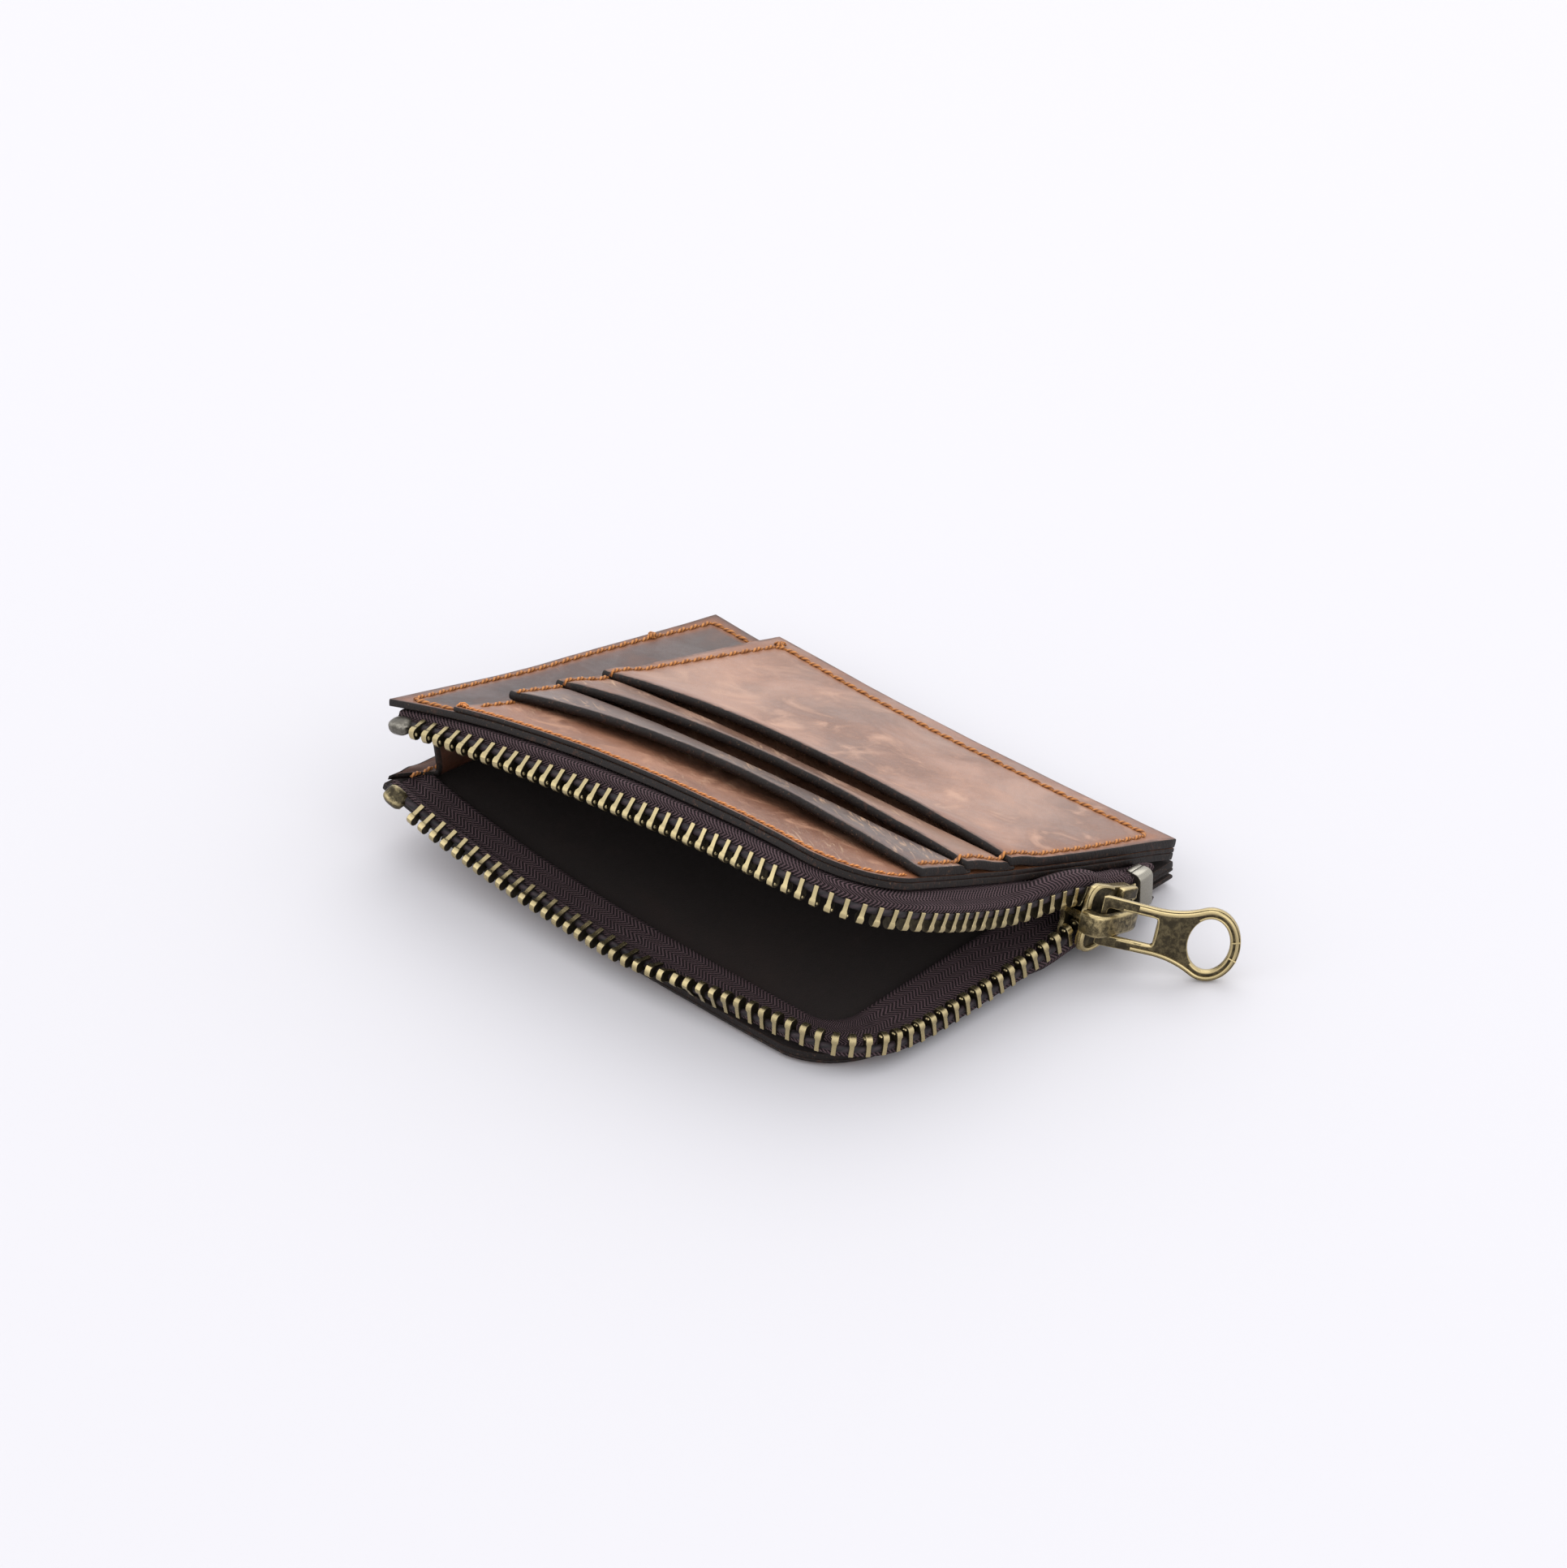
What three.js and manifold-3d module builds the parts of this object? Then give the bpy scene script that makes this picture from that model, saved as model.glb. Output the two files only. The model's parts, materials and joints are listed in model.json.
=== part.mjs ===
// Zippered card pouch lying on its back with the mouth part open.
// Millimetres. +X runs along the long zipped edge from the gusset to the slider side,
// -Y points out of the long zipped edge, +Y is the sewn back seam and +Z is up.
// The origin is on the table, under the middle of the pouch.
import * as THREE from "three";
import { mergeVertices } from "three/addons/utils/BufferGeometryUtils.js";
import Module from "manifold-3d";

const wasm = await Module();
wasm.setup();

// Driving dimensions
const LENGTH = 110;
const WIDTH = 85;
const CORNER_RADIUS = 14.5;
const BODY_THICKNESS = 1.3;
const BACKING_THICKNESS = 0.6;
const SLOT_THICKNESS = 0.75;
const LAYER_GAP = 0.15;
const FRONT_LIFT = 1.3;
const CARD_LEFT = -40;
const SLOT_MOUTHS = [14.5, 26.5, 38.5];
const SLOT_OVERLAP = 3;
const STITCH_MARGIN = 3;
const THREAD_WIDTH = 0.8;
const THREAD_HEIGHT = 0.45;

const TAPE_THICKNESS = 0.5;
const TAPE_GAP = 0.5;
const TAPE_SEAM_WIDTH = 6;
const TOOTH_PITCH = 2.75;
const TOOTH_WIDTH = 1.1;
const TOOTH_THICKNESS = 2.4;
const TOOTH_REAR = 1.1;
const TOOTH_REACH = 3;
const BEAD_HALF_WIDTH = 0.8;
const CHAIN_START = 5;
const STOP_LENGTH = 4;

const SLIDER_CENTRE = [58.8, 18.1, 8.6];
const SLIDER_PITCH = THREE.MathUtils.degToRad(17);
const SLIDER_LENGTH = 12;
const BEAD_SPREAD = 2.3;
const NOSE_SPREAD = 4.4;
const CHAIN_END_RUN = 9;
const PLATE_INNER = 1.55;
const PLATE_THICKNESS = 1.1;

const HALF_LENGTH = LENGTH / 2;
const BACK = WIDTH / 2;

// Control heights of each shell's middle surface, between its body leather and its card layers.
// Rows run from the gusset side to the slider side, columns from the zipped edge to the seam.
const FRONT_HEIGHTS = [
  [28.5, 20, 14, 8.1],
  [37.5, 23, 18, 5.2],
  [38.5, 23, 17, 5.3],
  [38, 26, 16.5, 6.5],
];
const BACK_HEIGHTS = [
  [11, 9.5, 7, 5],
  [1.2, -0.9, -1.7, 2],
  [1.8, 3, 3.6, 2.2],
  [1.2, 3.2, 3.6, 3.4],
];

const LEATHER = { color: 0x6f4630, roughness: 0.55, metalness: 0 };
const DARK_LEATHER = { color: 0x4a3024, roughness: 0.6, metalness: 0 };
const RED_LEATHER = { color: 0x7a3a20, roughness: 0.7, metalness: 0 };
const TAPE_CLOTH = { color: 0x3a2a30, roughness: 0.95, metalness: 0 };
const THREAD = { color: 0xb5652a, roughness: 0.8, metalness: 0 };
const BRASS = { color: 0x8a7a50, roughness: 0.35, metalness: 0.9 };
const STEEL = { color: 0x8d8a80, roughness: 0.35, metalness: 0.9 };

const pouch = new THREE.Group();

// ---------------------------------------------------------------- curved shells

function bezierWeights(t) {
  const s = 1 - t;
  return [s * s * s, 3 * s * s * t, 3 * s * t * t, t * t * t];
}

// Height of a control net over the flat sheet, at u along the length and v across the width.
function netHeight(net, u, v) {
  const along = bezierWeights((u + HALF_LENGTH) / LENGTH);
  const across = bezierWeights((v + BACK) / WIDTH);
  let height = 0;
  for (let i = 0; i < 4; i += 1) {
    for (let j = 0; j < 4; j += 1) {
      height += net[i][j] * along[i] * across[j];
    }
  }
  return height;
}

// Ground length of a rising line: the sheet keeps its own length, so its plan gets shorter.
function groundLength(heightAt, from, to) {
  const steps = 16;
  const step = (to - from) / steps;
  let length = 0;
  for (let i = 0; i < steps; i += 1) {
    const rise = heightAt(from + (i + 1) * step) - heightAt(from + i * step);
    length += Math.sqrt(step * step - rise * rise) * Math.sign(step);
  }
  return length;
}

class Shell {
  constructor(net, outward, mouthLift, pressedFlat) {
    this.net = net;
    this.outward = outward;
    this.mouthLift = mouthLift;
    this.pressedFlat = pressedFlat;
  }

  middle(u, v) {
    const x = groundLength((t) => netHeight(this.net, t, v), 0, u);
    const y = BACK - groundLength((t) => netHeight(this.net, u, t), v, BACK);
    return new THREE.Vector3(x, y, netHeight(this.net, u, v));
  }

  normal(u, v) {
    const along = this.middle(u + 0.5, v).sub(this.middle(u - 0.5, v));
    const across = this.middle(u, v + 0.5).sub(this.middle(u, v - 0.5));
    return along.cross(across).normalize();
  }

  // Point at a distance out of the middle surface, towards the pouch's outside.
  point(u, v, out) {
    const point = this.middle(u, v).addScaledVector(this.normal(u, v), out * this.outward);
    if (this.pressedFlat) {
      point.z = Math.max(point.z, 0);
    }
    return point;
  }
}

const frontShell = new Shell(FRONT_HEIGHTS, 1, FRONT_LIFT, false);
const backShell = new Shell(BACK_HEIGHTS, -1, 0, true);

// ---------------------------------------------------------------- closed bodies

function addMesh(name, geometry, look, parent = pouch) {
  const mesh = new THREE.Mesh(geometry, new THREE.MeshStandardMaterial(look));
  mesh.name = name;
  parent.add(mesh);
  return mesh;
}

// Closed slab between two grids of points, upper and lower, with equal rows and columns.
function slabGeometry(upper, lower) {
  const rows = upper.length;
  const columns = upper[0].length;
  const positions = [];
  for (const grid of [upper, lower]) {
    for (const row of grid) {
      for (const point of row) {
        positions.push(point.x, point.y, point.z);
      }
    }
  }
  const index = [];
  const top = (i, j) => i * columns + j;
  const under = (i, j) => rows * columns + i * columns + j;
  const quad = (a, b, c, d) => index.push(a, b, c, a, c, d);
  for (let i = 0; i < rows - 1; i += 1) {
    for (let j = 0; j < columns - 1; j += 1) {
      quad(top(i, j), top(i + 1, j), top(i + 1, j + 1), top(i, j + 1));
      quad(under(i, j), under(i, j + 1), under(i + 1, j + 1), under(i + 1, j));
    }
    quad(top(i, 0), under(i, 0), under(i + 1, 0), top(i + 1, 0));
    const last = columns - 1;
    quad(top(i, last), top(i + 1, last), under(i + 1, last), under(i, last));
  }
  for (let j = 0; j < columns - 1; j += 1) {
    quad(top(0, j), top(0, j + 1), under(0, j + 1), under(0, j));
    const last = rows - 1;
    quad(top(last, j), under(last, j), under(last, j + 1), top(last, j + 1));
  }
  const geometry = new THREE.BufferGeometry();
  geometry.setAttribute("position", new THREE.Float32BufferAttribute(positions, 3));
  geometry.setIndex(index);
  return facingOut(geometry);
}

// Turns every face of a closed body over where the body is inside out.
function facingOut(geometry) {
  const position = geometry.getAttribute("position");
  const index = geometry.getIndex().array;
  const a = new THREE.Vector3();
  const b = new THREE.Vector3();
  const c = new THREE.Vector3();
  let volume = 0;
  for (let i = 0; i < index.length; i += 3) {
    a.fromBufferAttribute(position, index[i]);
    b.fromBufferAttribute(position, index[i + 1]);
    c.fromBufferAttribute(position, index[i + 2]);
    volume += a.dot(b.cross(c));
  }
  if (volume < 0) {
    for (let i = 0; i < index.length; i += 3) {
      const swap = index[i];
      index[i] = index[i + 1];
      index[i + 1] = swap;
    }
  }
  geometry.computeVertexNormals();
  return geometry;
}

// Slab of even thickness about a grid of middle points.
function sheetGeometry(grid, thickness) {
  const side = (sign) =>
    grid.map((row, i) =>
      row.map((point, j) => {
        const before = grid[Math.max(i - 1, 0)][j];
        const after = grid[Math.min(i + 1, grid.length - 1)][j];
        const left = row[Math.max(j - 1, 0)];
        const right = row[Math.min(j + 1, row.length - 1)];
        const normal = after.clone().sub(before).cross(right.clone().sub(left)).normalize();
        return point.clone().addScaledVector(normal, (sign * thickness) / 2);
      }),
    );
  return slabGeometry(side(1), side(-1));
}

function toSolid(geometry) {
  const bare = geometry.clone();
  bare.deleteAttribute("normal");
  bare.deleteAttribute("uv");
  const merged = mergeVertices(bare, 1e-4);
  return new wasm.Manifold(
    new wasm.Mesh({
      numProp: 3,
      vertProperties: new Float32Array(merged.getAttribute("position").array),
      triVerts: new Uint32Array(merged.getIndex().array),
    }),
  );
}

function toGeometry(solid) {
  const mesh = solid.getMesh();
  const geometry = new THREE.BufferGeometry();
  geometry.setAttribute("position", new THREE.Float32BufferAttribute(mesh.vertProperties, 3));
  geometry.setIndex(Array.from(mesh.triVerts));
  geometry.computeVertexNormals();
  return geometry;
}

// ---------------------------------------------------------------- leather layers

function steps(from, to, count) {
  return Array.from({ length: count + 1 }, (_, i) => from + ((to - from) * i) / count);
}

// Right-hand limit of the outline at v: straight, then round at the zipped corner.
function rightLimit(v) {
  const fromCorner = v + BACK - CORNER_RADIUS;
  if (fromCorner >= 0) {
    return HALF_LENGTH;
  }
  const across = Math.sqrt(Math.max(CORNER_RADIUS ** 2 - fromCorner ** 2, 0));
  return HALF_LENGTH - CORNER_RADIUS + across;
}

// Grid of (u, v) places from a left edge to the outline.
function layerGrid(left, rows, columns) {
  return rows.map((v) => steps(left, rightLimit(v), columns).map((u) => [u, v]));
}

const CORNER_ROWS = [0, 0.8, 3, 7, CORNER_RADIUS].map((distance) => distance - BACK);
const FULL_ROWS = [...CORNER_ROWS, ...steps(CORNER_RADIUS - BACK, BACK, 7).slice(1)];

function layerGeometry(shell, grid, innerOut, outerOut) {
  const surface = (out) => grid.map((row) => row.map(([u, v]) => shell.point(u, v, out(u, v))));
  return slabGeometry(surface(outerOut), surface(innerOut));
}

function bodyPanel(shell) {
  const grid = layerGrid(-HALF_LENGTH, FULL_ROWS, 11);
  return layerGeometry(shell, grid, () => -BODY_THICKNESS, () => 0);
}

function cardBacking(shell) {
  const grid = layerGrid(CARD_LEFT, FULL_ROWS, 9);
  return layerGeometry(shell, grid, () => LAYER_GAP, () => LAYER_GAP + BACKING_THICKNESS);
}

const TUCKED = 2 * LAYER_GAP + BACKING_THICKNESS;
const LIPPED = TUCKED + LAYER_GAP + SLOT_THICKNESS;
const LIP_LEVEL = SLOT_OVERLAP + 0.5;
const LIP_RUN = 10;

// Distance of a slot layer's inner face out of the middle surface. A mouth bows out in the
// middle of its span. Behind it the layer sinks to the backing, but the last one of a shell
// that is pressed flat keeps its level.
function slotInner(shell, number, u, v) {
  const behindMouth = v + BACK - SLOT_MOUTHS[number];
  const start = number === 0 ? TUCKED : LIPPED;
  const sink = THREE.MathUtils.clamp((behindMouth - LIP_LEVEL) / (LIP_RUN - LIP_LEVEL), 0, 1);
  const keepsLevel = shell.pressedFlat && number === SLOT_MOUTHS.length - 1;
  const settled = keepsLevel ? start : start + (TUCKED - start) * sink;
  const open = THREE.MathUtils.clamp(1 - behindMouth / LIP_RUN, 0, 1);
  const span = (u - CARD_LEFT) / (HALF_LENGTH - CARD_LEFT);
  return settled + shell.mouthLift * open * 4 * span * (1 - span);
}

function cardSlot(shell, number) {
  const mouth = SLOT_MOUTHS[number] - BACK;
  const last = number === SLOT_MOUTHS.length - 1;
  const end = last ? BACK : SLOT_MOUTHS[number + 1] - BACK + SLOT_OVERLAP;
  const rows = [mouth, mouth + LIP_LEVEL, mouth + LIP_RUN];
  rows.push(...(last ? steps(mouth + LIP_RUN, end, 3).slice(1) : [end]));
  const grid = layerGrid(CARD_LEFT, rows, 9);
  const inner = (u, v) => slotInner(shell, number, u, v);
  return layerGeometry(shell, grid, inner, (u, v) => inner(u, v) + SLOT_THICKNESS);
}

// Outer face of whatever lies outermost at a place on a shell.
function outerFace(shell, u, v) {
  if (u < CARD_LEFT) {
    return 0;
  }
  const fromEdge = v + BACK;
  const number = SLOT_MOUTHS.filter((mouth) => fromEdge >= mouth).length - 1;
  if (number < 0) {
    return LAYER_GAP + BACKING_THICKNESS;
  }
  return slotInner(shell, number, u, v) + SLOT_THICKNESS;
}

// ---------------------------------------------------------------- thread runs

// Flat strip of thread laid on a shell along places (u, v), bridging the steps that it meets.
function threadGeometry(shell, places) {
  const reach = THREAD_WIDTH;
  const grid = places.map(([u, v], i) => {
    const [beforeU, beforeV] = places[Math.max(i - 1, 0)];
    const [afterU, afterV] = places[Math.min(i + 1, places.length - 1)];
    const along = new THREE.Vector2(afterU - beforeU, afterV - beforeV).normalize();
    const around = [-1, 0, 1].flatMap((a) => [-1, 0, 1].map((b) => [u + a * reach, v + b * reach]));
    const out = Math.max(...around.map(([a, b]) => outerFace(shell, a, b)));
    return [-1, 1].map((side) => {
      const across = (side * THREAD_WIDTH) / 2;
      const height = out + LAYER_GAP + THREAD_HEIGHT / 2;
      return shell.point(u - across * along.y, v + across * along.x, height);
    });
  });
  return sheetGeometry(grid, THREAD_HEIGHT);
}

const STITCH_BACK = BACK - STITCH_MARGIN;
const STITCH_RIGHT = HALF_LENGTH - STITCH_MARGIN;

// Places across the width where a run of thread has to bend over the slots.
function stepRows() {
  const bends = [-1.7, -0.7, LIP_LEVEL, LIP_RUN];
  const rows = SLOT_MOUTHS.flatMap((mouth) => bends.map((bend) => mouth - BACK + bend));
  return [...rows, ...steps(rows.at(-1), STITCH_BACK, 3).slice(1)];
}

// Round the card section: left side, seam side and slider side, in one run.
function cardThreadPlaces() {
  const left = CARD_LEFT + STITCH_MARGIN;
  const rows = stepRows();
  const places = rows.map((v) => [left, v]);
  places.push(...steps(left, STITCH_RIGHT, 12).slice(1).map((u) => [u, STITCH_BACK]));
  places.push(...rows.reverse().slice(1).map((v) => [STITCH_RIGHT, v]));
  return places;
}

// Along the zipped edge: it takes in the tape, the body leather and the backing.
function zipThreadPlaces() {
  const front = STITCH_MARGIN - BACK;
  const bendCentreU = HALF_LENGTH - CORNER_RADIUS;
  const bendCentreV = CORNER_RADIUS - BACK;
  const radius = CORNER_RADIUS - STITCH_MARGIN;
  const places = steps(CARD_LEFT + 1, bendCentreU, 12).map((u) => [u, front]);
  for (const turn of steps(0, Math.PI / 2 - 0.22, 5).slice(1)) {
    places.push([bendCentreU + radius * Math.sin(turn), bendCentreV - radius * Math.cos(turn)]);
  }
  return places;
}

// Round the bare strip beside the card section.
function stripThreadPlaces() {
  const left = STITCH_MARGIN - HALF_LENGTH;
  const inner = CARD_LEFT - 1;
  const places = steps(inner, left, 2).map((u) => [u, STITCH_MARGIN - BACK]);
  places.push(...steps(STITCH_MARGIN - BACK, STITCH_BACK, 10).slice(1).map((v) => [left, v]));
  places.push(...steps(left, inner, 2).slice(1).map((u) => [u, STITCH_BACK]));
  return places;
}

// ---------------------------------------------------------------- zipper chain

const FRONT_RUN = LENGTH - CORNER_RADIUS;
const CORNER_RUN = (CORNER_RADIUS * Math.PI) / 2;

// Place on the outline at a distance along it, with the outward direction there.
function outline(distance) {
  if (distance < FRONT_RUN) {
    return { u: distance - HALF_LENGTH, v: -BACK, out: [0, -1] };
  }
  const turn = Math.min((distance - FRONT_RUN) / CORNER_RADIUS, Math.PI / 2);
  const out = [Math.sin(turn), -Math.cos(turn)];
  const u = HALF_LENGTH - CORNER_RADIUS + CORNER_RADIUS * out[0];
  const v = CORNER_RADIUS - BACK + CORNER_RADIUS * out[1];
  return { u, v: v + Math.max(distance - FRONT_RUN - CORNER_RUN, 0), out };
}

const TAPE_SIDE = -BODY_THICKNESS - TAPE_GAP - TAPE_THICKNESS / 2;

// Middle of the tape at a distance inside the outline.
function tapeSeam(shell, distance, inset) {
  const { u, v, out } = outline(distance);
  return shell.point(u - inset * out[0], v - inset * out[1], TAPE_SIDE);
}

// Stations of a chain: distance along the outline, how far the bead lies out of the edge and
// above it, and how far the teeth lean above the level, in degrees.
const FRONT_CHAIN = [
  [2, 1.0, -0.9, -30],
  [12, 1.0, -1.2, -33],
  [30, 1.2, -2.7, -35],
  [60, 1.5, -3.2, -45],
  [80, 1.2, -2.8, -52],
  [95, 1.0, -2.9, -60],
  [107, 1.2, -3.2, -75],
  [118, 1.5, -3.6, -88],
  [140, 2.2, -4.0, -90],
];
const BACK_CHAIN = [
  [2, 0.8, 0.8, -28],
  [12, 0.8, 0.8, -28],
  [30, 0.8, 0.9, -20],
  [60, 0.9, 1.1, -5],
  [70, 0.7, 1.3, 25],
  [80, 0.3, 1.5, 65],
  [90, 0, 2.2, 85],
  [100, 0, 2.6, 90],
  [107, 1.5, 1.8, 90],
  [113, 2.1, 0.8, 92],
  [120, 2.2, -0.6, 94],
  [140, 2.8, -1.0, 95],
];

const pitchAxis = new THREE.Vector3(1, 0, 0);
const sliderCentre = new THREE.Vector3(...SLIDER_CENTRE);

// Point of the slider's own frame: outwards, towards the seam, towards the front shell.
function sliderPoint(x, y, z) {
  return new THREE.Vector3(x, y, z).applyAxisAngle(pitchAxis, -SLIDER_PITCH).add(sliderCentre);
}

// Distance along the outline of the place on the slider side that lies at y.
function sideDistance(shell, y) {
  let near = CORNER_RADIUS - BACK;
  let far = BACK;
  for (let i = 0; i < 30; i += 1) {
    const v = (near + far) / 2;
    if (shell.middle(HALF_LENGTH, v).y < y) {
      near = v;
    } else {
      far = v;
    }
  }
  return FRONT_RUN + CORNER_RUN + near + BACK - CORNER_RADIUS;
}

// Bead line and tooth direction of one row, from its top stop to its end stop.
class Chain {
  constructor(shell, stations, side) {
    const beads = [];
    const tips = [];
    for (const [distance, outBy, upBy, lean] of stations) {
      const edge = tapeSeam(shell, distance, 0);
      const { out } = outline(distance);
      const level = new THREE.Vector3(out[0], out[1], 0);
      const bead = edge.addScaledVector(level, outBy);
      bead.z += upBy;
      const angle = THREE.MathUtils.degToRad(lean);
      const tooth = level.multiplyScalar(Math.cos(angle));
      tooth.z += Math.sin(angle);
      beads.push(bead);
      tips.push(bead.clone().add(tooth));
    }
    const half = SLIDER_LENGTH / 2;
    const places = [
      [-half, NOSE_SPREAD],
      [0, BEAD_SPREAD],
      [half, BEAD_SPREAD],
    ];
    for (const [along, spread] of places) {
      beads.push(sliderPoint(0, along, side * spread));
      tips.push(sliderPoint(0, along, side * (spread - 1)));
    }
    const end = sliderPoint(0, half, 0);
    beads.push(new THREE.Vector3(end.x, end.y + CHAIN_END_RUN, end.z + side * BEAD_SPREAD));
    tips.push(new THREE.Vector3(end.x, end.y + CHAIN_END_RUN, end.z + side * (BEAD_SPREAD - 1)));
    this.shell = shell;
    this.distances = beads.map((bead, i) => {
      return i < stations.length ? stations[i][0] : sideDistance(shell, bead.y);
    });
    this.beads = new THREE.CatmullRomCurve3(beads, false, "centripetal");
    this.tips = new THREE.CatmullRomCurve3(tips, false, "centripetal");
    const spans = beads.length - 1;
    this.beads.arcLengthDivisions = 60 * spans;
    this.length = this.beads.getLength();
    this.sliderTail = this.beads.getLengths()[60 * (spans - 1)];
  }

  // Distance along the outline that faces the chain at parameter t.
  outlineDistance(t) {
    const place = t * (this.distances.length - 1);
    const i = Math.min(Math.floor(place), this.distances.length - 2);
    return THREE.MathUtils.lerp(this.distances[i], this.distances[i + 1], place - i);
  }

  // Bead point, tooth direction and the direction across the chain's thickness.
  frameAt(t) {
    const bead = this.beads.getPoint(t);
    const along = this.beads.getTangent(t);
    const tooth = this.tips.getPoint(t).sub(bead);
    tooth.addScaledVector(along, -tooth.dot(along)).normalize();
    const across = new THREE.Vector3().crossVectors(along, tooth);
    return { bead, tooth, across };
  }

  frame(distance) {
    return this.frameAt(this.beads.getUtoTmapping(THREE.MathUtils.clamp(distance / this.length, 0, 1)));
  }
}

const frontChain = new Chain(frontShell, FRONT_CHAIN, 1);
const backChain = new Chain(backShell, BACK_CHAIN, -1);

// Row of teeth joined by the bead cord that they are crimped on: one comb-shaped body.
// The teeth are counted from the end stop, so that the two rows mesh in the slider.
function toothRow(chain, from, to) {
  const count = Math.floor((to - from) / TOOTH_PITCH);
  const places = [];
  for (let i = count; i > 0; i -= 1) {
    const start = to - i * TOOTH_PITCH;
    places.push([start, false], [start, true], [start + TOOTH_WIDTH, true]);
    places.push([start + TOOTH_WIDTH, false]);
  }
  const half = TOOTH_THICKNESS / 2;
  const positions = [];
  for (const [distance, isTooth] of places) {
    const { bead, tooth, across } = chain.frame(distance);
    const reach = isTooth ? TOOTH_REACH : BEAD_HALF_WIDTH;
    const rear = isTooth ? -TOOTH_REAR : -BEAD_HALF_WIDTH;
    const thick = isTooth ? half : BEAD_HALF_WIDTH;
    for (const [offset, side] of [[rear, -1], [reach, -1], [reach, 1], [rear, 1]]) {
      const corner = bead.clone().addScaledVector(tooth, offset);
      corner.addScaledVector(across, side * thick);
      positions.push(corner.x, corner.y, corner.z);
    }
  }
  const index = [];
  const ring = (i) => [0, 1, 2, 3].map((k) => i * 4 + k);
  for (let i = 0; i < places.length - 1; i += 1) {
    const near = ring(i);
    const far = ring(i + 1);
    for (let k = 0; k < 4; k += 1) {
      const next = (k + 1) % 4;
      index.push(near[k], near[next], far[next], near[k], far[next], far[k]);
    }
  }
  const first = ring(0);
  const last = ring(places.length - 1);
  index.push(first[0], first[2], first[1], first[0], first[3], first[2]);
  index.push(last[0], last[1], last[2], last[0], last[2], last[3]);
  const geometry = new THREE.BufferGeometry();
  geometry.setAttribute("position", new THREE.Float32BufferAttribute(positions, 3));
  geometry.setIndex(index);
  return facingOut(geometry);
}

// ---------------------------------------------------------------- tapes

const STEM = 0.35;
const SLIDER_STEM = 2.1;
const TAPE_CLEARANCE = 0.2;

// Length that the tape stands straight out of the bead line: longer in the slider, so that it
// leaves between the slider's lips.
function stemLength(bead) {
  const along = bead.y - sliderCentre.y;
  const entering = THREE.MathUtils.smoothstep(along, -22, -9);
  const leaving = THREE.MathUtils.smoothstep(along, 6.5, 9);
  return STEM + SLIDER_STEM * entering * (1 - leaving);
}

// Woven tape from its seam under the leather to the back of the teeth.
function tapeGeometry(chain, stations) {
  const grid = steps(0, 1, stations).map((t) => {
    const { bead, tooth } = chain.frameAt(t);
    const distance = chain.outlineDistance(t);
    const rear = TOOTH_REAR + TAPE_CLEARANCE;
    const root = bead.clone().addScaledVector(tooth, -rear);
    const base = bead.clone().addScaledVector(tooth, -rear - stemLength(bead));
    const outline0 = tapeSeam(chain.shell, distance, 0);
    const baseOut = base.clone().sub(outline0).dot(new THREE.Vector3(...outline(distance).out, 0));
    const straight = 1 - THREE.MathUtils.smoothstep(distance, 100, 107);
    const raised = straight * THREE.MathUtils.clamp(bead.z - outline0.z, 0, 1);
    const inset = Math.max(0.5 - baseOut, -0.55) + 1.5 * raised;
    const edge = tapeSeam(chain.shell, distance, inset);
    const inner = tapeSeam(chain.shell, distance, Math.max(TAPE_SEAM_WIDTH, inset + 2));
    const bend = edge.clone().sub(base);
    bend.addScaledVector(tooth, -bend.dot(tooth)).add(base);
    return [inner, edge, bend, base, root];
  });
  return sheetGeometry(grid, TAPE_THICKNESS);
}

// ---------------------------------------------------------------- chain ends

function chainBlock(chain, from, to, rear, reach, thickness) {
  const section = [[rear, -1], [reach, -1], [reach, 1], [rear, 1]];
  const corners = [from, (from + to) / 2, to].map((distance) => {
    const { bead, tooth, across } = chain.frame(distance);
    return section.map(([offset, side]) =>
      bead.clone().addScaledVector(tooth, offset).addScaledVector(across, (side * thickness) / 2),
    );
  });
  const lower = corners.map(([a, b]) => [a, b]);
  const upper = corners.map(([, , c, d]) => [d, c]);
  return slabGeometry(upper, lower);
}

// ---------------------------------------------------------------- gusset

const GUSSET_DEPTH = 7.5;
const GUSSET_THICKNESS = 0.9;
const GUSSET_LEDGE = 4.5;
const GUSSET_FOLD = 0.75;

// V-folded strip that closes the short side between the two shells.
function gussetGeometry() {
  const side = -BODY_THICKNESS - LAYER_GAP - GUSSET_THICKNESS / 2;
  const grid = steps(8 - BACK, BACK - 17, 8).map((v) => {
    const edge = -HALF_LENGTH + 0.6;
    const under = frontShell.point(edge, v, side);
    const underIn = frontShell.point(edge + GUSSET_LEDGE, v, side);
    const over = backShell.point(edge, v, side);
    const overIn = backShell.point(edge + GUSSET_LEDGE, v, side);
    const fold = underIn.clone().lerp(overIn, GUSSET_FOLD);
    fold.x += GUSSET_DEPTH - GUSSET_LEDGE;
    return [under, underIn, fold, overIn, over];
  });
  return sheetGeometry(grid, GUSSET_THICKNESS);
}

// ---------------------------------------------------------------- slider

const FRONT_HALF_WIDTH = 6.2;
const REAR_HALF_WIDTH = 4.6;
const NOSE = -6.5;
const TAIL = 5.5;
const LIP_WIDTH = 0.8;
const LIP_INNER = 0.6;

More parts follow.
